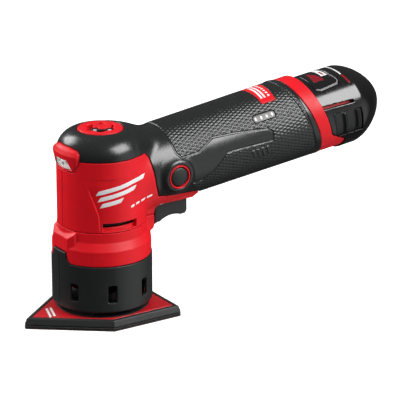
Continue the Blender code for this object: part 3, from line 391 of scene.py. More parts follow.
CELL = moulded("cell_sleeve", (0.04, 0.20, 0.42), 0.35, wear=(0.3, 0.4, 0.5), depth=0.01)
HOOKS = moulded("hook_fabric", (0.03, 0.03, 0.03), 0.9, wear=(0.1, 0.1, 0.1), grain=1800.0, depth=0.3)
GRIT = moulded("abrasive_grit", (0.035, 0.020, 0.017), 0.9, wear=(0.12, 0.07, 0.05), grain=1400.0,
               depth=0.25, vary=0.25)
WHITE = moulded("print_white", (0.80, 0.80, 0.80), 0.45, depth=0.01)
PALE = moulded("reflector_pale", (0.78, 0.70, 0.67), 0.25, depth=0.01)
WARM = moulded("led_phosphor", (0.80, 0.62, 0.18), 0.4, depth=0.01)
GREY = moulded("print_grey", (0.22, 0.22, 0.23), 0.4, depth=0.01)


def clear_lens():
    look = moulded("clear_lens", (0.93, 0.94, 0.95), 0.10, depth=0.01, swing=0.04)
    shader = look.node_tree.nodes["Principled BSDF"]
    shader.inputs["Transmission Weight"].default_value = 0.92
    shader.inputs["IOR"].default_value = 1.46
    return look


LENS = clear_lens()


# ---------------------------------------------------------------- the clamshell's common shape

def head_field(x, y, z):
    across = np.hypot(x, y) - (HEAD_R - DOME_FILLET)
    above = z - (DOME_TOP - DOME_FILLET)
    outside = np.hypot(np.maximum(across, 0.0), np.maximum(above, 0.0))
    return outside + np.minimum(np.maximum(across, above), 0.0) - DOME_FILLET


def tube_field(s, n, y):
    radius = 24.7 + 1.6 * (s - 8.0) / 164.0
    return np.maximum(np.hypot(y, n) - radius, 6.0 - s)


def envelope(x, y, z):
    """Head and grip as one body, with a soft valley where they meet."""
    s, n = along(x, z)
    blend = (5.0 + 7.0 * ramp(98.0, 112.0, z)) * ramp(-1.0, 14.0, x) + 0.05
    return soft_min(head_field(x, y, z), tube_field(s, n, y), blend)


RUBBER_EDGE = [(-60.0, 104.4), (18.7, 104.4), (21.5, 101.5), (24.4, 84.0), (27.6, 75.6), (38.0, 74.2),
               (61.5, 71.2), (67.0, 66.0), (67.0, 40.0), (300.0, 40.0), (300.0, 190.0), (-60.0, 190.0)]


def ring_front(n):
    """Slanted line, in side view, where the rubber gives way to the red end ring."""
    return 143.8 - 0.31 * n


def rubber_zone(x, z, s, n):
    """Side-view region of the rubber: dome, neck and grip as far as the red end ring."""
    return np.maximum(polygon(RUBBER_EDGE, x, z), (s - ring_front(n)) / 1.047)


BEZEL_HALF = [(9.6, 96.9), (10.8, 97.8), (12.9, 102.0), (13.6, 106.0), (13.4, 108.6), (11.2, 110.5),
              (5.0, 111.6)]
BEZEL_VIEW = BEZEL_HALF + [(-y, z) for y, z in BEZEL_HALF[::-1]]
BEZEL_SIDE = [(21.5, 112.6), (21.5, 106.0), (24.2, 106.0), (24.2, 96.9), (27.1, 96.9), (28.7, 105.0),
              (28.9, 107.2), (27.6, 109.6), (25.0, 112.6)]
LENS_VIEW = [(-8.8, 98.4), (8.8, 98.4), (6.2, 104.0), (-6.2, 104.0)]


def bezel_zone(x, y, z):
    return np.maximum(convex(BEZEL_VIEW, y, z), x - LIGHT_BACK_X)


LOZENGE = (5.2, 2.2)
UPPER_TEXTURE = [(41.5, 30.0), (41.2, 20.0), (41.8, 11.7), (44.5, 8.3), (57.0, 8.5), (69.0, 13.6),
                 (85.5, 12.1), (108.0, 8.7), (111.0, 6.0), (110.5, 2.0), (109.7, 0.9), (82.5, 2.7),
                 (75.9, 2.6),
                 (66.5, -5.8), (58.7, -10.1), (50.6, -10.9), (54.0, -17.0), (57.0, -24.0), (60.0, -30.0),
                 (148.0, -30.0), (144.1, -15.6), (140.5, -4.5), (138.1, 5.7), (136.3, 15.7), (133.8, 30.0)]


def weave(s, round_way):
    """Slanted lozenges, 0 in the grooves to 1 on the crowns."""
    a = np.sin((s / LOZENGE[0] + round_way / LOZENGE[1]) * math.pi) ** 2
    b = np.sin((s / LOZENGE[0] - round_way / LOZENGE[1]) * math.pi) ** 2
    return soft_min(a, b, 0.35)


def raised_blocks(s, n):
    """Four plain slanted blocks low on each side of the grip."""
    lean = s + 0.3 * n - 92.6
    return np.maximum(np.maximum(slab(lean % 3.5, 0.55, 3.0), slab(lean, 0.0, 14.0)), slab(n, -8.0, -1.6))


def texture_height(s, n, y):
    """Height of the grip's pattern above the smooth rubber, in millimetres."""
    zone = polygon(UPPER_TEXTURE, s, n)
    lozenges = weave(s, 25.4 * np.arctan2(y, n))
    blocks = raised_blocks(s, n)
    pattern = 0.02 + 0.32 * lozenges
    pattern = pattern + (0.40 - pattern) * ramp(0.2, -0.2, blocks)
    pattern = pattern * ramp(0.0, 0.5, np.abs(blocks))
    groove = -0.28 * ramp(0.80, 0.20, np.abs(zone))
    return ramp(-0.3, -0.8, zone) * pattern + groove


def badge_field(s, y):
    return convex([(111.6, -14.2), (122.0, -14.2), (124.6, 10.0), (111.4, 10.0)], s, y)


def gauge_field(s, n):
    return brick(s, n, 0.0 * s, (100.4, 13.6, -5.0), (116.4, 17.4, 5.0), 1.7)


def button_boss(x, y, z):
    """Low mound round the lock button on the left."""
    across = np.hypot(x - BUTTON_X, z - BUTTON_Z)
    return meet(1.5, across - 9.4 - 0.5 * (y + 26.4), -26.3 - y, y + SIDE_Y)


SCREWS = [(28.6, 69.9)]
for place_s, place_n in ((29.0, 17.0), (64.0, -17.0), (100.0, -17.0), (84.0, 17.0)):
    SCREWS.append((place_s * RISE_COS - place_n * RISE_SIN,
                   AXIS_Z + place_s * RISE_SIN + place_n * RISE_COS))


def screw_wells(x, y, z):
    """Counterbores on the right side."""
    result = np.full(x.shape, 1e3)
    for px, pz in SCREWS:
        result = np.minimum(result, np.maximum(np.hypot(x - px, z - pz) - 3.1, 11.3 - y))
    return result


def rubber_field(side):
    """Rubber cover of one half; side is -1 on the left. Each reaches just over the join, which hides it."""
    def shape(x, y, z):
        s, n = along(x, z)
        outer = envelope(x, y, z)
        if side < 0:
            outer = soft_min(outer, button_boss(x, y, z), 4.0)
        inner = outer + RUBBER_T
        top = outer - texture_height(s, n, y)
        zone = rubber_zone(x, z, s, n)
        lip = 0.35 * ramp(5.2, 4.6, ring_front(n) - s) * ramp(-1.0, 1.0, s - 100.0)
        body = meet(0.7, top - lip, zone + 0.15)
        body = less(body, inner, 0.2)
        body = less(body, np.maximum(np.hypot(x, y) - 14.25, DIAL_WELL_Z - z), 0.6)
        body = less(body, bezel_zone(x, y, z) - 0.25, 0.5)
        body = less(body, np.maximum(badge_field(s, y) - 0.2, 15.0 - n), 0.4)
        if side < 0:
            body = less(body, np.maximum(gauge_field(s, n) - 0.2, y + 10.0), 0.4)
            body = less(body, np.maximum(np.hypot(x - BUTTON_X, z - BUTTON_Z) - 7.6, y + SIDE_Y), 0.5)
        else:
            body = less(body, screw_wells(x, y, z), 0.5)
        return meet(0.06, body, -0.25 - side * y)
    return shape


def recess_depth(x, y, z):
    """Wedge-shaped recess low on each side of the barrel, deepest at its slanted front edge."""
    angle = np.degrees(np.arctan2(np.abs(y), x))
    edge = 124.0 + np.where(z > 71.0, (z - 71.0) * 0.80, (z - 71.0) * 0.12)
    inside = np.minimum((edge - angle) * 0.47, 93.6 - z)
    depth = (0.10 + 0.85 * np.clip((angle - 95.0) / 40.0, 0.0, 1.0)) * ramp(58.0, 72.0, z) + 0.12
    corner = 1.0 - 0.9 * ramp(81.0, 90.0, z) * ramp(108.0, 126.0, angle)
    return ramp(-0.2, 0.2, inside) * depth * ramp(80.0, 96.0, angle) * corner


GUARD_SIDE = [(14.0, 60.0), (32.0, 60.0), (32.0, 61.6), (32.7, 63.4), (34.2, 64.8), (36.8, 65.3),
              (60.0, 65.5), (65.0, 68.3), (65.0, 72.0), (14.0, 72.0)]


def vent_field(x, y, z, side):
    """Air slot low on the barrel."""
    angle = np.degrees(np.arctan2(side * y, x))
    outline = np.maximum(slab(z, 61.0, 66.0), slab(angle, 69.0, 119.0) * 0.47)
    return np.maximum(outline, 20.0 - np.hypot(x, y))


def shell_field(side):
    """Red housing half; side is -1 on the left."""
    def shape(x, y, z):
        s, n = along(x, z)
        outer = envelope(x, y, z)
        face = outer + recess_depth(x, y, z)
        guard = meet(0.6, polygon(GUARD_SIDE, x, z), np.abs(y) - 10.0)
        zone = rubber_zone(x, z, s, n)
        body = soft_min(meet(0.6, face, s - 171.0), guard, 1.2)
        under = soft_max(zone - 0.15, -(outer + RUBBER_T + 0.3), 0.3)
        body = less(body, under, 0.45)
        body = less(body, outer + WALL, 0.3)
        body = less(body, polygon(PACK_EDGE, s, n) - 0.15, 0.5)
        slot = np.maximum(slab(x, 32.2, 58.4), np.abs(y) - 8.9)
        body = less(body, np.maximum(slot, z - 74.0), 0.5)
        body = less(body, bezel_zone(x, y, z) - 0.25, 0.4)
        body = less(body, np.maximum(np.hypot(x, y) - 14.3, DIAL_WELL_Z - z), 0.4)
        body = less(body, vent_field(x, y, z, side), 0.5)
        ledge = meet(0.3, slab(np.hypot(x, y), 22.9, 24.4), slab(z, 60.15, 62.9), slab(x, -14.0, 12.0))
        body = soft_min(body, ledge, 0.3)
        if side > 0:
            body = less(body, screw_wells(x, y, z), 0.4)
        else:
            body = less(body, np.maximum(np.hypot(x - BUTTON_X, z - BUTTON_Z) - 7.7, y + SIDE_Y), 0.4)
        body = meet(0.5, body, SEAM_Z + 0.15 - z)
        return meet(0.06, body, 0.02 - side * y)
    return shape


def make_housing():
    sides = ((-1, "left"), (1, "right"))
    for side, word in sides:
        low, high = (-0.5, 28.5) if side > 0 else (-28.5, 0.5)
        solid("rubber_cover_" + word, rubber_field(side), (-30, low, 58), (158, high, 130), 0.40,
              RUBBER, "root", ["grip_" + word], "grip_rubber")
        solid("red_shell_" + word, shell_field(side), (-30, low, 57), (174, high, 130), 0.5,
              RED, "root", ["housing_" + word], "red_plastic")


# ---------------------------------------------------------------- collar, skirt, light, dial

COLLAR_SIDE = [(0.0, 59.85), (27.3, 59.85), (27.6, 54.0), (30.4, 48.8), (30.4, 39.85), (0.0, 39.85)]
COLLAR_HOLLOW = [(0.0, 70.0), (25.6, 70.0), (25.6, 52.4), (28.0, 47.6), (28.0, 30.0), (0.0, 30.0)]
BLOCK_PLAN = [(-29.3, -8.5), (-26.4, -12.2), (-10.0, -12.2), (-10.0, 12.2), (-26.4, 12.2), (-29.3, 8.5)]
COLLAR_GUARD = [(20.0, 47.0), (28.8, 47.0), (28.8, 49.4), (31.2, 50.8), (32.0, 52.4), (32.0, 59.8),
                (20.0, 59.8)]


def tab_field(y, z, grow):
    """Front view of the skirt's tab: straight sides that flare at the bottom."""
    across = np.abs(y) - 7.0 - 0.24 * (46.3 - z) - 2.2 * ramp(42.5, 38.5, z) - grow
    return meet(0.8, across, z - 46.3 - grow)


def collar_field(x, y, z):
    r = np.hypot(x, y)
    body = polygon(COLLAR_SIDE, r, z)
    top = (z - 55.2 - 1.12 * (x + 29.3)) * 0.66
    block = meet(0.35, convex(BLOCK_PLAN, x, y), slab(z, 46.8, 59.4), top)
    body = meet(0.5, body, -29.3 - x)
    body = soft_min(body, block, 0.4)
    guard = meet(0.7, polygon(COLLAR_GUARD, x, z), np.abs(y) - 10.0)
    body = soft_min(body, guard, 1.5)
    body = less(body, polygon(COLLAR_HOLLOW, r, z), 0.3)
    notch = np.maximum(tab_field(y, z, 0.25), x + 15.0)
    return less(body, notch, 0.5)


def skirt_field(x, y, z):
    r = np.hypot(x, y)
    wall = meet(1.6, r - SKIRT_R, 28.8 - r, 10.0 - z)
    below = z - 39.55
    tab = np.maximum(tab_field(y, z, 0.0), x + 15.0)
    body = meet(0.5, wall, np.minimum(below, tab))
    line = np.maximum(np.hypot(y + 1.5, r - 31.3) - 0.75, slab(z, 15.0, 43.5))
    body = less(body, np.maximum(line, x), 0.4)
    angle = np.abs(np.arctan2(y, x))
    turn = (angle - math.radians(SLOT_START) + math.pi / 8) % (math.pi / 4) - math.pi / 8
    slot = brick(turn * 30.0, z, 0.0 * z, (-2.7, 16.5, -5.0), (2.7, 27.5, 5.0), 1.15)
    return less(body, slot, 0.5)


def bezel_field(x, y, z):
    r = np.hypot(x, y)
    body = meet(1.1, polygon(BEZEL_SIDE, r, z), bezel_zone(x, y, z))
    window = np.maximum(convex(LENS_VIEW, y, z) - 0.25, x - LIGHT_BACK_X)
    return less(body, window, 0.4)


def lens_field(x, y, z):
    r = np.hypot(x, y)
    front = (r - 28.3 + 0.17 * (105.5 - z)) * 0.98
    return meet(0.4, front, 25.6 - r, convex(LENS_VIEW, y, z), x - LIGHT_BACK_X)


def reflector_field(x, y, z):
    r = np.hypot(x, y)
    return meet(0.2, slab(r, 24.3, 25.0), convex(LENS_VIEW, y, z), x - LIGHT_BACK_X)


def across_dial(x, y):
    """Dial's own plan axes, turned from the head's."""
    turn = math.radians(33.2)
    return x * math.cos(turn) - y * math.sin(turn), x * math.sin(turn) + y * math.cos(turn)


def dial_field(x, y, z):
    r = np.hypot(x, y)
    body = meet(1.0, r - 13.9, z - 118.8, 115.4 - z)
    well = r - 8.7 - 0.9 * np.cos(6.0 * np.arctan2(y, x))
    body = less(body, meet(0.6, well, 116.0 - z), 0.8)
    u, v = across_dial(x, y)
    bar = meet(1.2, slab(u, -4.6, 6.6), slab(v, 0.6, 6.4), z - 118.8, 115.6 - z)
    neck = meet(1.0, slab(u, -1.0, 3.8), slab(v, -1.6, 3.0), z - 118.5, 115.6 - z)
    body = soft_min(body, soft_min(bar, neck, 1.0), 0.8)
    stem = meet(0.3, r - 3.0, z - 116.0, 113.0 - z)
    return np.minimum(body, stem)


def dial_well_shade_field(x, y, z):
    """Dark block in the middle of the dial's well, in front of the red handle: painted shade standing in for
    the deep, shaded well.
    """
    u, v = across_dial(x, y)
    floor = meet(0.2, np.hypot(x, y) - 9.0, slab(z, 115.7, 116.3), v + 1.0)
    block = meet(0.7, slab(u, -5.2, 7.2), slab(v, -3.2, 1.6), slab(z, 115.7, 118.0))
    return np.minimum(floor, block)


def dial_glint_field(x, y, z):
    """Two short pale patches on the front edge of the dark block: painted highlights, standing in for
    reflections in the dial's well.
    """
    u, v = across_dial(x, y)
    return meet(0.15, slab(np.abs(u - 1.4), 3.4, 5.4), slab(v, -3.45, -2.4), slab(z, 117.2, 118.1))


def led_chip_field(x, y, z):
    """Small dark emitters behind the lens."""
    squares = np.minimum(brick(np.abs(y), z, 0.0 * z, (2.9, 101.6, -5.0), (4.9, 103.4, 5.0), 0.2),
                         brick(np.abs(y), z, 0.0 * z, (-1.2, 100.2, -5.0), (1.2, 102.0, 5.0), 0.2))
    return meet(0.15, squares, slab(np.hypot(x, y), 24.6, 25.4), x - LIGHT_BACK_X)


def led_glow_field(x, y, z):
    """Warm phosphor patches at the light's lower corners."""
    patch = brick(np.abs(y), z, 0.0 * z, (5.7, 99.8, -5.0), (7.3, 101.4, 5.0), 0.3)
    return meet(0.15, patch, slab(np.hypot(x, y), 24.6, 25.4), x - LIGHT_BACK_X)


def make_head():
    solid("collar", collar_field, (-32, -32, 38), (35, 32, 62), 0.5,
          RED, "root", ["head_collar"], "red_plastic")
    solid("skirt", skirt_field, (-32.5, -32.5, 8), (32.5, 32.5, 48), 0.5,
          CHARCOAL, "root", ["dust_skirt"], "charcoal_plastic")
    solid("light_hood", bezel_field, (-31, -16, 95), (-10, 16, 114), 0.3,
          RED, "root", ["led_bezel"], "red_plastic")
    for name, shape, low, high, pitch, look, cad in (
            ("light_lens", lens_field, (-31, -11, 97), (-20, 11, 107), 0.25, LENS, ["led_lens"]),
            ("light_reflector", reflector_field, (-27, -11, 97), (-18, 11, 107), 0.3, PALE, []),
            ("led_chips", led_chip_field, (-27, -6, 99), (-18, 6, 105), 0.2, CHARCOAL, []),
            ("led_glow", led_glow_field, (-27, -9, 98), (-18, 9, 103), 0.2, WARM, [])):
        solid(name, shape, low, high, pitch, look, "root", cad, "clear_lens")
    for name, shape, low, high, pitch, look, cad in (
            # A near-black block as painted shade in the dial's well.
            ("dial_well_shade", dial_well_shade_field, (-11, -11, 115), (11, 11, 119), 0.3, SHADE_BLACK, []),
            # Pale patches as painted highlights on the well's dark block.
            ("dial_glints", dial_glint_field, (-8, -10, 115), (8, 4, 118), 0.2, WHITE, []),
            ("dial_cap", dial_field, (-15, -15, 112), (15, 15, 120), 0.32, RED, ["speed_dial"])):
        solid(name, shape, low, high, pitch, look, "dial", cad, "red_plastic")
    face = [(0.0, -27.0), (4.6, -26.9), (5.7, -26.3), (6.0, -25.4), (6.0, -19.5), (0.0, -19.5)]
    profile = [(r, -h) for r, h in face]
    turned("lock_cap", profile, (BUTTON_X, 0.0, BUTTON_Z), (0, -1, 0), CHARCOAL, "lock",
           ["lock_button"], "charcoal_plastic")


# ---------------------------------------------------------------- trigger, trim and screws

def bend(centre, radius, start, stop, count):
    """Points along an arc in a plane, angles in degrees."""
    turns = [math.radians(start + (stop - start) * i / count) for i in range(count + 1)]
    return [(centre[0] + radius * math.cos(t), centre[1] + radius * math.sin(t)) for t in turns]


TRIGGER_SIDE = ([(32.7, 52.0), (35.6, 53.2)] + bend((46.6, 40.0), 16.2, 126.0, 70.0, 10)
                + bend((54.3, 57.9), 2.7, -72.0, 0.0, 5) + [(57.0, 68.4), (33.0, 68.4)])


def trigger_field(x, y, z):
    body = meet(1.6, polygon(TRIGGER_SIDE, x, z), np.abs(y) - 8.5)
    return less(body, np.hypot(x - 36.5, z - 66.5) - 1.45, 0.2)


def button_ring_field(x, y, z):
    across = np.hypot(x - BUTTON_X, z - BUTTON_Z)
    return meet(0.5, slab(across, 6.3, 7.4), slab(y, -26.75, -21.0))


def badge_piece(x, y, z):
    s, n = along(x, z)
    depth = tube_field(s, n, y)
    return meet(0.3, badge_field(s, y), slab(depth, -1.2, 0.15), 10.0 - n)


def gauge_piece(x, y, z):
    s, n = along(x, z)
    depth = tube_field(s, n, y)
    return meet(0.25, gauge_field(s, n), slab(depth, -1.2, 0.05), y + 10.0)


def gauge_lights(x, y, z):
    """Four pale lights in the fuel gauge's window."""
    s, n = along(x, z)
    spaced = (s - 100.1) % 4.05 - 2.02
    dots = np.hypot(spaced, (n - 15.5) * 0.75) - 0.75
    return meet(0.1, dots, slab(s, 100.4, 115.9), slab(tube_field(s, n, y), -0.8, 0.10), y + 10.0)


def badge_bars(x, y, z):
    """Plain bars and a dotted row across the badge."""
    s, n = along(x, z)
    lean = s - 0.06 * (y + 14.2)
    bars = np.minimum(slab(lean, 113.2, 114.6), slab(lean, 115.6, 117.0))
    dots = np.maximum(slab(lean, 118.6, 120.2), slab((y + 11.0) % 2.6, 0.3, 1.7))
    shape = meet(0.1, np.minimum(bars, dots), slab(y, -11.0, 6.5))
    return meet(0.1, shape, slab(tube_field(s, n, y), -0.9, 0.24), 10.0 - n)


BARREL_BARS = [(85.6, 126.0, 58.0), (81.4, 123.5, 72.0), (77.2, 121.0, 92.0)]


def barrel_bars(x, y, z):
    """Plain slanted bars in the side recess, and a short dashed row behind them."""
    angle = np.degrees(np.arctan2(-y, x))
    face = envelope(x, y, z) + recess_depth(x, y, z)
    rising = z - 0.10 * (122.0 - angle)
    shape = np.full(x.shape, 1e3)
    for middle, left, right in BARREL_BARS:
        ends = slab(angle + (rising - middle) * 1.6, right, left) * 0.47
        shape = np.minimum(shape, meet(0.3, slab(rising, middle - 1.3, middle + 1.3), ends))
    dashes = np.maximum(slab((angle - 44.0) % 9.0, 2.0, 8.0) * 0.47, slab(angle, 44.0, 80.0) * 0.47)
    shape = np.minimum(shape, meet(0.2, dashes, slab(rising, 69.6, 71.0)))
    return meet(0.08, shape, slab(face, -0.9, 0.10), y)


def screw_field(px, pz):
    """Pan head with a six-lobed recess."""
    def shape(x, y, z):
        across = np.hypot(x - px, z - pz)
        turn = np.arctan2(z - pz, x - px)
        head = meet(0.5, across - 2.6, slab(y, 11.5, 13.6))
        drive = meet(0.1, across - 1.25 - 0.22 * np.cos(6.0 * turn), 12.3 - y)
        shank = meet(0.2, across - 1.35, slab(y, -7.5, 12.0))
        return np.minimum(less(head, drive, 0.15), shank)
    return shape


def make_trim():
    solid("trigger_lever", trigger_field, (32, -10, 50), (59, 10, 70), 0.4,
          CHARCOAL, "trigger", ["trigger"], "charcoal_plastic")
    solid("button_trim", button_ring_field, (31, -28, 78), (49, -20, 96), 0.3,
          RED, "root", ["button_ring"], "red_plastic")
    solid("badge_plate", badge_piece, (104, -16, 114), (125, 12, 127), 0.35,
          RED, "root", ["grip_badge"], "red_plastic")
    solid("badge_stripes", badge_bars, (104, -13, 114), (125, 9, 127), 0.22,
          WHITE, "root", [], "red_plastic")
    solid("gauge_lid", gauge_piece, (95, -24, 108), (118, -14, 118), 0.3,
          SMOKE, "root", ["fuel_gauge_window"], "pack_black")
    solid("gauge_dots", gauge_lights, (95, -24, 108), (118, -14, 118), 0.2, PALE, "root", [], "clear_lens")
    solid("barrel_stripes", barrel_bars, (-20, -29, 66), (22, -16, 98), 0.24,
          WHITE, "root", [], "red_plastic")
    for i, (px, pz) in enumerate(SCREWS):
        low, high = (px - 4.0, -9.0, pz - 4.0), (px + 4.0, 15.0, pz + 4.0)
        solid(f"case_screw_{i + 1}", screw_field(px, pz), low, high, 0.3,
              STEEL, "root", [f"housing_screw_{i + 1}"], "steel")


# ---------------------------------------------------------------- sanding pad

PAD_INNER = [(-52.95, 0.0), (-11.27, -32.2), (34.4, -32.2), (34.4, 32.2), (-11.27, 32.2)]


def pad_plan(x, y, inset):
    """Pad outline with corners rounded to 2 mm, moved inwards."""
    return polygon(PAD_INNER, x, y) - 2.0 + inset


def cushion_field(x, y, z):
    side = pad_plan(x, y, 1.5 * np.clip((z - 2.4) / 4.0, 0.0, 1.0))
    body = meet(0.7, side, slab(z, 2.4, 6.6))
    pocket = np.maximum(pad_plan(x, y, 3.9), 4.9 - z)
    return less(body, pocket, 0.4)


def top_plate_field(x, y, z):
    body = meet(0.4, pad_plan(x, y, 4.2), slab(z, 5.2, 6.7))
    for i in range(3):
        turn = math.radians(60.0 + 120.0 * i)
        px, py = ECCENTRIC + 14.5 * math.cos(turn), 14.5 * math.sin(turn)
        body = less(body, np.hypot(x - px, y - py) - 1.7, 0.2)
    return body


def plate_rim(x, y, z):
    return less(top_plate_field(x, y, z), np.hypot(x, y) - 28.6, 0.15)


def plate_painted_shade(x, y, z):
    """The part of the plate under the skirt, left black as painted shade under the skirt."""
    return meet(0.15, top_plate_field(x, y, z), np.hypot(x, y) - 28.4)


def pad_mark(x, y, z):
    """Two plain bars near the pad's tip."""
    lean = x - 0.35 * y
    bars = np.minimum(slab(lean, -39.0, -37.4), slab(lean, -36.2, -34.6))
    return meet(0.15, bars, slab(y, -6.5, 7.0), slab(z, 5.9, 6.78))


def make_pad():
    solid("pad_body", cushion_field, (-57, -36, 1), (38, 36, 8), 0.45,
          FOAM, "pad", ["pad_cushion"], "pad_foam")
    solid("pad_plate", plate_rim, (-54, -34, 4), (36, 34, 8), 0.4,
          PAD_RED, "pad", ["pad_top_plate"], "pad_red")
    # Black foam look on the plate's middle: painted shade under the skirt.
    solid("pad_plate_painted_shade", plate_painted_shade, (-30, -30, 4), (30, 30, 8), 0.4, FOAM, "pad", [], "pad_red")
    solid("pad_stripes", pad_mark, (-44, -9, 5), (-29, 9, 8), 0.25, WHITE, "pad", [], "pad_red")
    for name, low, high, look, slot, cad in (("grit_sheet", 0.0, 0.9, GRIT, "abrasive", "abrasive_sheet"),
                                             ("hook_layer", 1.2, 2.1, HOOKS, "hook", "hook_sheet")):
        def layer(x, y, z, low=low, high=high):
            return meet(0.25, pad_plan(x, y, 0.1), slab(z, low, high))
        solid(name, layer, (-57, -36, low - 1), (38, 36, high + 1), 0.4, look, "pad", [cad], slot)


# ---------------------------------------------------------------- battery pack

PACK_EDGE = [(141.0, 45.0), (150.4, 10.0), (155.4, -9.5), (158.2, -11.6), (167.5, -16.5), (169.5, -45.0),
             (260.0, -45.0), (260.0, 45.0)]


def pack_outer(s, n, y):
    """The pack's outside: a tube that closes in a blunt rounded end."""
    across = np.hypot(n + PACK_DROP, y) / PACK_R
    past = np.maximum(s - PACK_DOME_S, 0.0) / (PACK_END_S - PACK_DOME_S)
    return PACK_R * ((across ** PACK_POWER + past ** PACK_POWER) ** (1.0 / PACK_POWER) - 1.0)


def latch_zone(s, n, grow):
    outline = [(157.3, 3.8), (178.6, 2.2), (179.8, -12.8), (159.2, -12.2)]
    return convex(outline[::-1], s, n) - grow


PANEL_HALF = [(152.2, 14.6), (155.5, 16.0), (169.2, 15.0), (171.2, 13.0), (171.0, 10.4), (169.3, 4.8)]
PANEL_PLAN = PANEL_HALF + [(s, -y) for s, y in PANEL_HALF[::-1]]


def panel_zone(s, y, grow):
    return polygon(PANEL_PLAN, s, y) - grow


def slit_zone(s, n):
    middle = 8.7 - 0.05 * (s - 155.0)
    reach = np.maximum(s - 173.6, 0.0)
    return np.hypot(reach, n - middle) - 0.95


def pack_head_field(x, y, z):
    s, n = along(x, z)
    outer = pack_outer(s, n, y)
    body = meet(0.5, outer, polygon(PACK_EDGE, s, n) + 0.15, 146.4 - s)
    body = less(body, outer + PACK_WALL, 0.2)
    body = less(body, np.maximum(np.hypot(n, y) - 19.9, s - 152.0), 0.2)
    body = less(body, meet(0.2, panel_zone(s, y, 0.2), -outer - 0.9, -n), 0.35)
    body = less(body, np.maximum(slit_zone(s, n), 12.0 - np.abs(y)), 0.35)
    return less(body, np.maximum(latch_zone(s, n, 0.15), 12.0 - np.abs(y)), 0.15)


def latch_field(side):
    def shape(x, y, z):
        s, n = along(x, z)
        outer = pack_outer(s, n, y)
        lean = s + 0.06 * n
        ribs = np.exp(-((lean - 165.9) / 1.25) ** 2) + np.exp(-((lean - 175.4) / 1.25) ** 2)
        sink = 0.75 - 1.25 * ribs * ramp(-12.5, -10.5, n) * ramp(3.4, 1.6, n)
        sink = sink * ramp(157.8, 160.2, s) * ramp(4.0, 2.8, n)
        face = outer + 0.1 + sink
        return meet(0.4, face, latch_zone(s, n, 0.0), -(outer + PACK_WALL), 12.0 - side * y)
    return shape


def panel_field(x, y, z):
    s, n = along(x, z)
    outer = pack_outer(s, n, y)
    return meet(0.35, panel_zone(s, y, 0.0), slab(outer, -0.75, 0.15), -n)


def printed(zone, proud=0.12):
    """A mark on the pack's skin; zone is a field of (s, y)."""
    def shape(x, y, z):
        s, n = along(x, z)
        return meet(0.08, zone(s, y), slab(pack_outer(s, n, y), -0.8, proud), -n)
    return shape


def label_line(s, y):
    return slab(panel_zone(s, y, 0.0), -1.15, -0.35)


def label_pale(s, y):
    return polygon([(163.2, -5.8), (167.8, -5.8), (167.0, 9.0), (163.8, 9.0)], s, y)


def label_bar(s, y):
    return brick(s, y, 0.0 * s, (164.7, -4.6, -5.0), (166.3, 0.2, 5.0), 0.3)


def label_red(s, y):
    return polygon([(155.0, -9.4), (163.0, -9.4), (161.0, -2.4), (157.0, 3.4)], s, y)


def tag_pale(s, y):
    return np.maximum(slab(s - 0.0076 * y * y, 174.7, 175.6), slab(y, -9.2, 8.0))


def tag_red(s, y):
    return np.maximum(slab(s - 0.0076 * y * y, 174.4, 176.0), slab(y, -16.4, -9.8))


def make_pack():
    solid("pack_shell", pack_head_field, (142, -27, 74), (208, 27, 130), 0.5,
          GLOSS, "pack", ["pack_head"], "pack_black")
    for side, word in ((-1, "left"), (1, "right")):
        low, high = (-28, -17) if side < 0 else (17, 28)
        solid("latch_pad_" + word, latch_field(side), (153, low, 86), (183, high, 113), 0.3,
              LATCH, "latch_" + word, ["latch_" + word], "charcoal_plastic")
    solid("pack_label", panel_field, (146, -17, 112), (172, 17, 130), 0.4,
          GLOSS, "pack", ["pack_panel"], "pack_black")
    low, high = (150, -18, 108), (182, 18, 130)
    for name, zone, look in (("label_border", label_line, GREY), ("label_pale", label_pale, WHITE),
                             ("label_red", label_red, DEEP_RED), ("tag_pale", tag_pale, WHITE),
                             ("tag_red", tag_red, DEEP_RED)):
        solid(name, printed(zone, 0.2), low, high, 0.26, look, "pack", [], "pack_black")
    solid("label_bar", printed(label_bar, 0.27), low, high, 0.26, DEEP_RED, "pack", [], "pack_black")


# ---------------------------------------------------------------- camera, light and floor

def direction(azimuth, elevation):
    """Unit vector at an azimuth (0 is the left side, 90 the rear) and elevation, in degrees."""
    turn, rise = math.radians(azimuth), math.radians(elevation)
    return Vector((math.sin(turn) * math.cos(rise), -math.cos(turn) * math.cos(rise), math.sin(rise)))


def aim(thing, target):
    thing.rotation_euler = (Vector(target) - thing.location).to_track_quat("-Z", "Y").to_euler()


def make_camera():
    target, distance = Vector((0.0748027, 0.0, 0.0579424)), 1.61324
    data = bpy.data.cameras.new("camera")
    data.lens, data.sensor_width, data.sensor_fit = 227.75, 36.0, "HORIZONTAL"
    data.clip_start, data.clip_end = 0.05, 20.0
    camera = bpy.data.objects.new("camera", data)
    camera.location = target + direction(-33.206, 19.2405) * distance
    bpy.context.scene.collection.objects.link(camera)
    aim(camera, target)
    bpy.context.scene.camera = camera


def soft_box(name, target, azimuth, elevation, distance, size, radiance, mirrored=True):
    """Area light seen from the target at an azimuth and elevation."""
    data = bpy.data.lights.new(name, "AREA")
    data.shape = "RECTANGLE"
    data.size, data.size_y = size
    data.energy = radiance * math.pi * size[0] * size[1]
    light = bpy.data.objects.new(name, data)
    light.location = Vector(target) + direction(azimuth, elevation) * distance
    light.visible_glossy = mirrored
    bpy.context.scene.collection.objects.link(light)
    aim(light, target)


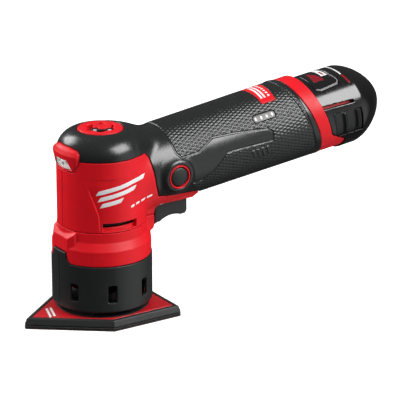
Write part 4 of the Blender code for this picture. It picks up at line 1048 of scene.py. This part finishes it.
def make_stage():
    mesh = bpy.data.meshes.new("floor")
    mesh.from_pydata([(-3, -3, 0), (3, -3, 0), (3, 3, 0), (-3, 3, 0)], [], [(0, 1, 2, 3)])
    floor = bpy.data.objects.new("floor", mesh)
    bpy.context.scene.collection.objects.link(floor)
    mesh.materials.append(floor_look())
    floor.visible_glossy = False
    floor.visible_diffuse = False
    floor.visible_shadow = False
    centre = (0.06, 0.0, 0.08)
    soft_box("key_box", centre, 33.0, 39.0, 1.3, (0.95, 0.7), 9.6)
    soft_box("rear_box", centre, -155.0, 33.0, 1.3, (0.7, 0.6), 8.0)
    soft_box("left_wash", centre, -112.0, 18.0, 1.5, (0.8, 0.9), 6.5, mirrored=False)
    soft_box("floor_bounce", centre, 60.0, -70.0, 1.2, (1.0, 1.0), 2.5, mirrored=False)
    soft_box("front_wash", centre, -35.0, 40.0, 1.6, (0.9, 0.9), 0.8, mirrored=False)
    make_world()
    bpy.context.scene.view_settings.view_transform = "Standard"


def floor_look():
    look = moulded("studio_floor", (0.85, 0.85, 0.85), 0.7, grain=300.0, depth=0.01, vary=0.005)
    shader = look.node_tree.nodes["Principled BSDF"]
    shader.inputs["Specular IOR Level"].default_value = 0.1
    shader.inputs["Emission Color"].default_value = (1.0, 1.0, 1.0, 1.0)
    shader.inputs["Emission Strength"].default_value = 0.55
    return look


def make_world():
    """White to look at; for its light a dim dome, with the glow of a lit floor low on the right."""
    world = bpy.data.worlds.new("studio")
    bpy.context.scene.world = world
    world.use_nodes = True
    tree = world.node_tree
    back = tree.nodes["Background"]
    back.inputs["Color"].default_value = (1.0, 1.0, 1.0, 1.0)
    place = node(tree, "ShaderNodeTexCoord")
    split = node(tree, "ShaderNodeSeparateXYZ")
    tree.links.new(place.outputs["Generated"], split.inputs[0])
    dome = spread(tree, split.outputs["Z"], 0.05, 0.22, 0.0, 1.0)
    toward = node(tree, "ShaderNodeVectorMath", operation="DOT_PRODUCT")
    toward.inputs[1].default_value = direction(42.0, -16.0)
    tree.links.new(place.outputs["Generated"], toward.inputs[0])
    glow = spread(tree, toward.outputs["Value"], 0.0, 0.65, 0.77, 0.95)
    both = node(tree, "ShaderNodeMath", operation="ADD")
    tree.links.new(dome, both.inputs[0])
    tree.links.new(glow, both.inputs[1])
    seen = node(tree, "ShaderNodeLightPath").outputs["Is Camera Ray"]
    choice = node(tree, "ShaderNodeMix", data_type="FLOAT")
    choice.inputs[3].default_value = 1.0
    tree.links.new(seen, choice.inputs[0])
    tree.links.new(both.outputs[0], choice.inputs[2])
    tree.links.new(choice.outputs[0], back.inputs["Strength"])


LOOKS = {"red_plastic": RED, "pad_red": PAD_RED, "grip_rubber": RUBBER, "charcoal_plastic": CHARCOAL,
         "pad_foam": FOAM, "pack_black": GLOSS, "steel": STEEL, "aluminium": ALUMINIUM, "copper": COPPER,
         "board": BOARD, "clear_lens": LENS, "cell_can": CELL, "abrasive": GRIT, "hook": HOOKS}

# Inner metal parts that would otherwise shine through the skirt's slots and the vent: coloured near-black as
# painted shade inside the housing.
SHADED_INSIDE = ("counterweight", "pad_carrier", "pad_bearing", "pad_screw_1", "pad_screw_2", "pad_screw_3",
               "spindle", "bearing_plate", "lower_bearing", "motor_stator")


def dress_nodes():
    """Every CAD node gets the procedural material of its slot, except the inner parts, which get near-black
    painted shade.
    """
    slots = {part["node"]: part.get("material_slot") for part in frame["record"]["subparts"]}
    for name, thing in frame["nodes"].items():
        # Inner parts get near-black painted shade instead of their own finish.
        look = SHADE_BLACK if name in SHADED_INSIDE else LOOKS[slots[name]]
        for i in range(len(thing.material_slots)):
            thing.material_slots[i].link = "DATA"
            thing.data.materials[i] = look


def main():
    make_camera()
    make_stage()
    dress_nodes()
    make_housing()
    make_head()
    make_trim()
    make_pad()
    make_pack()


main()
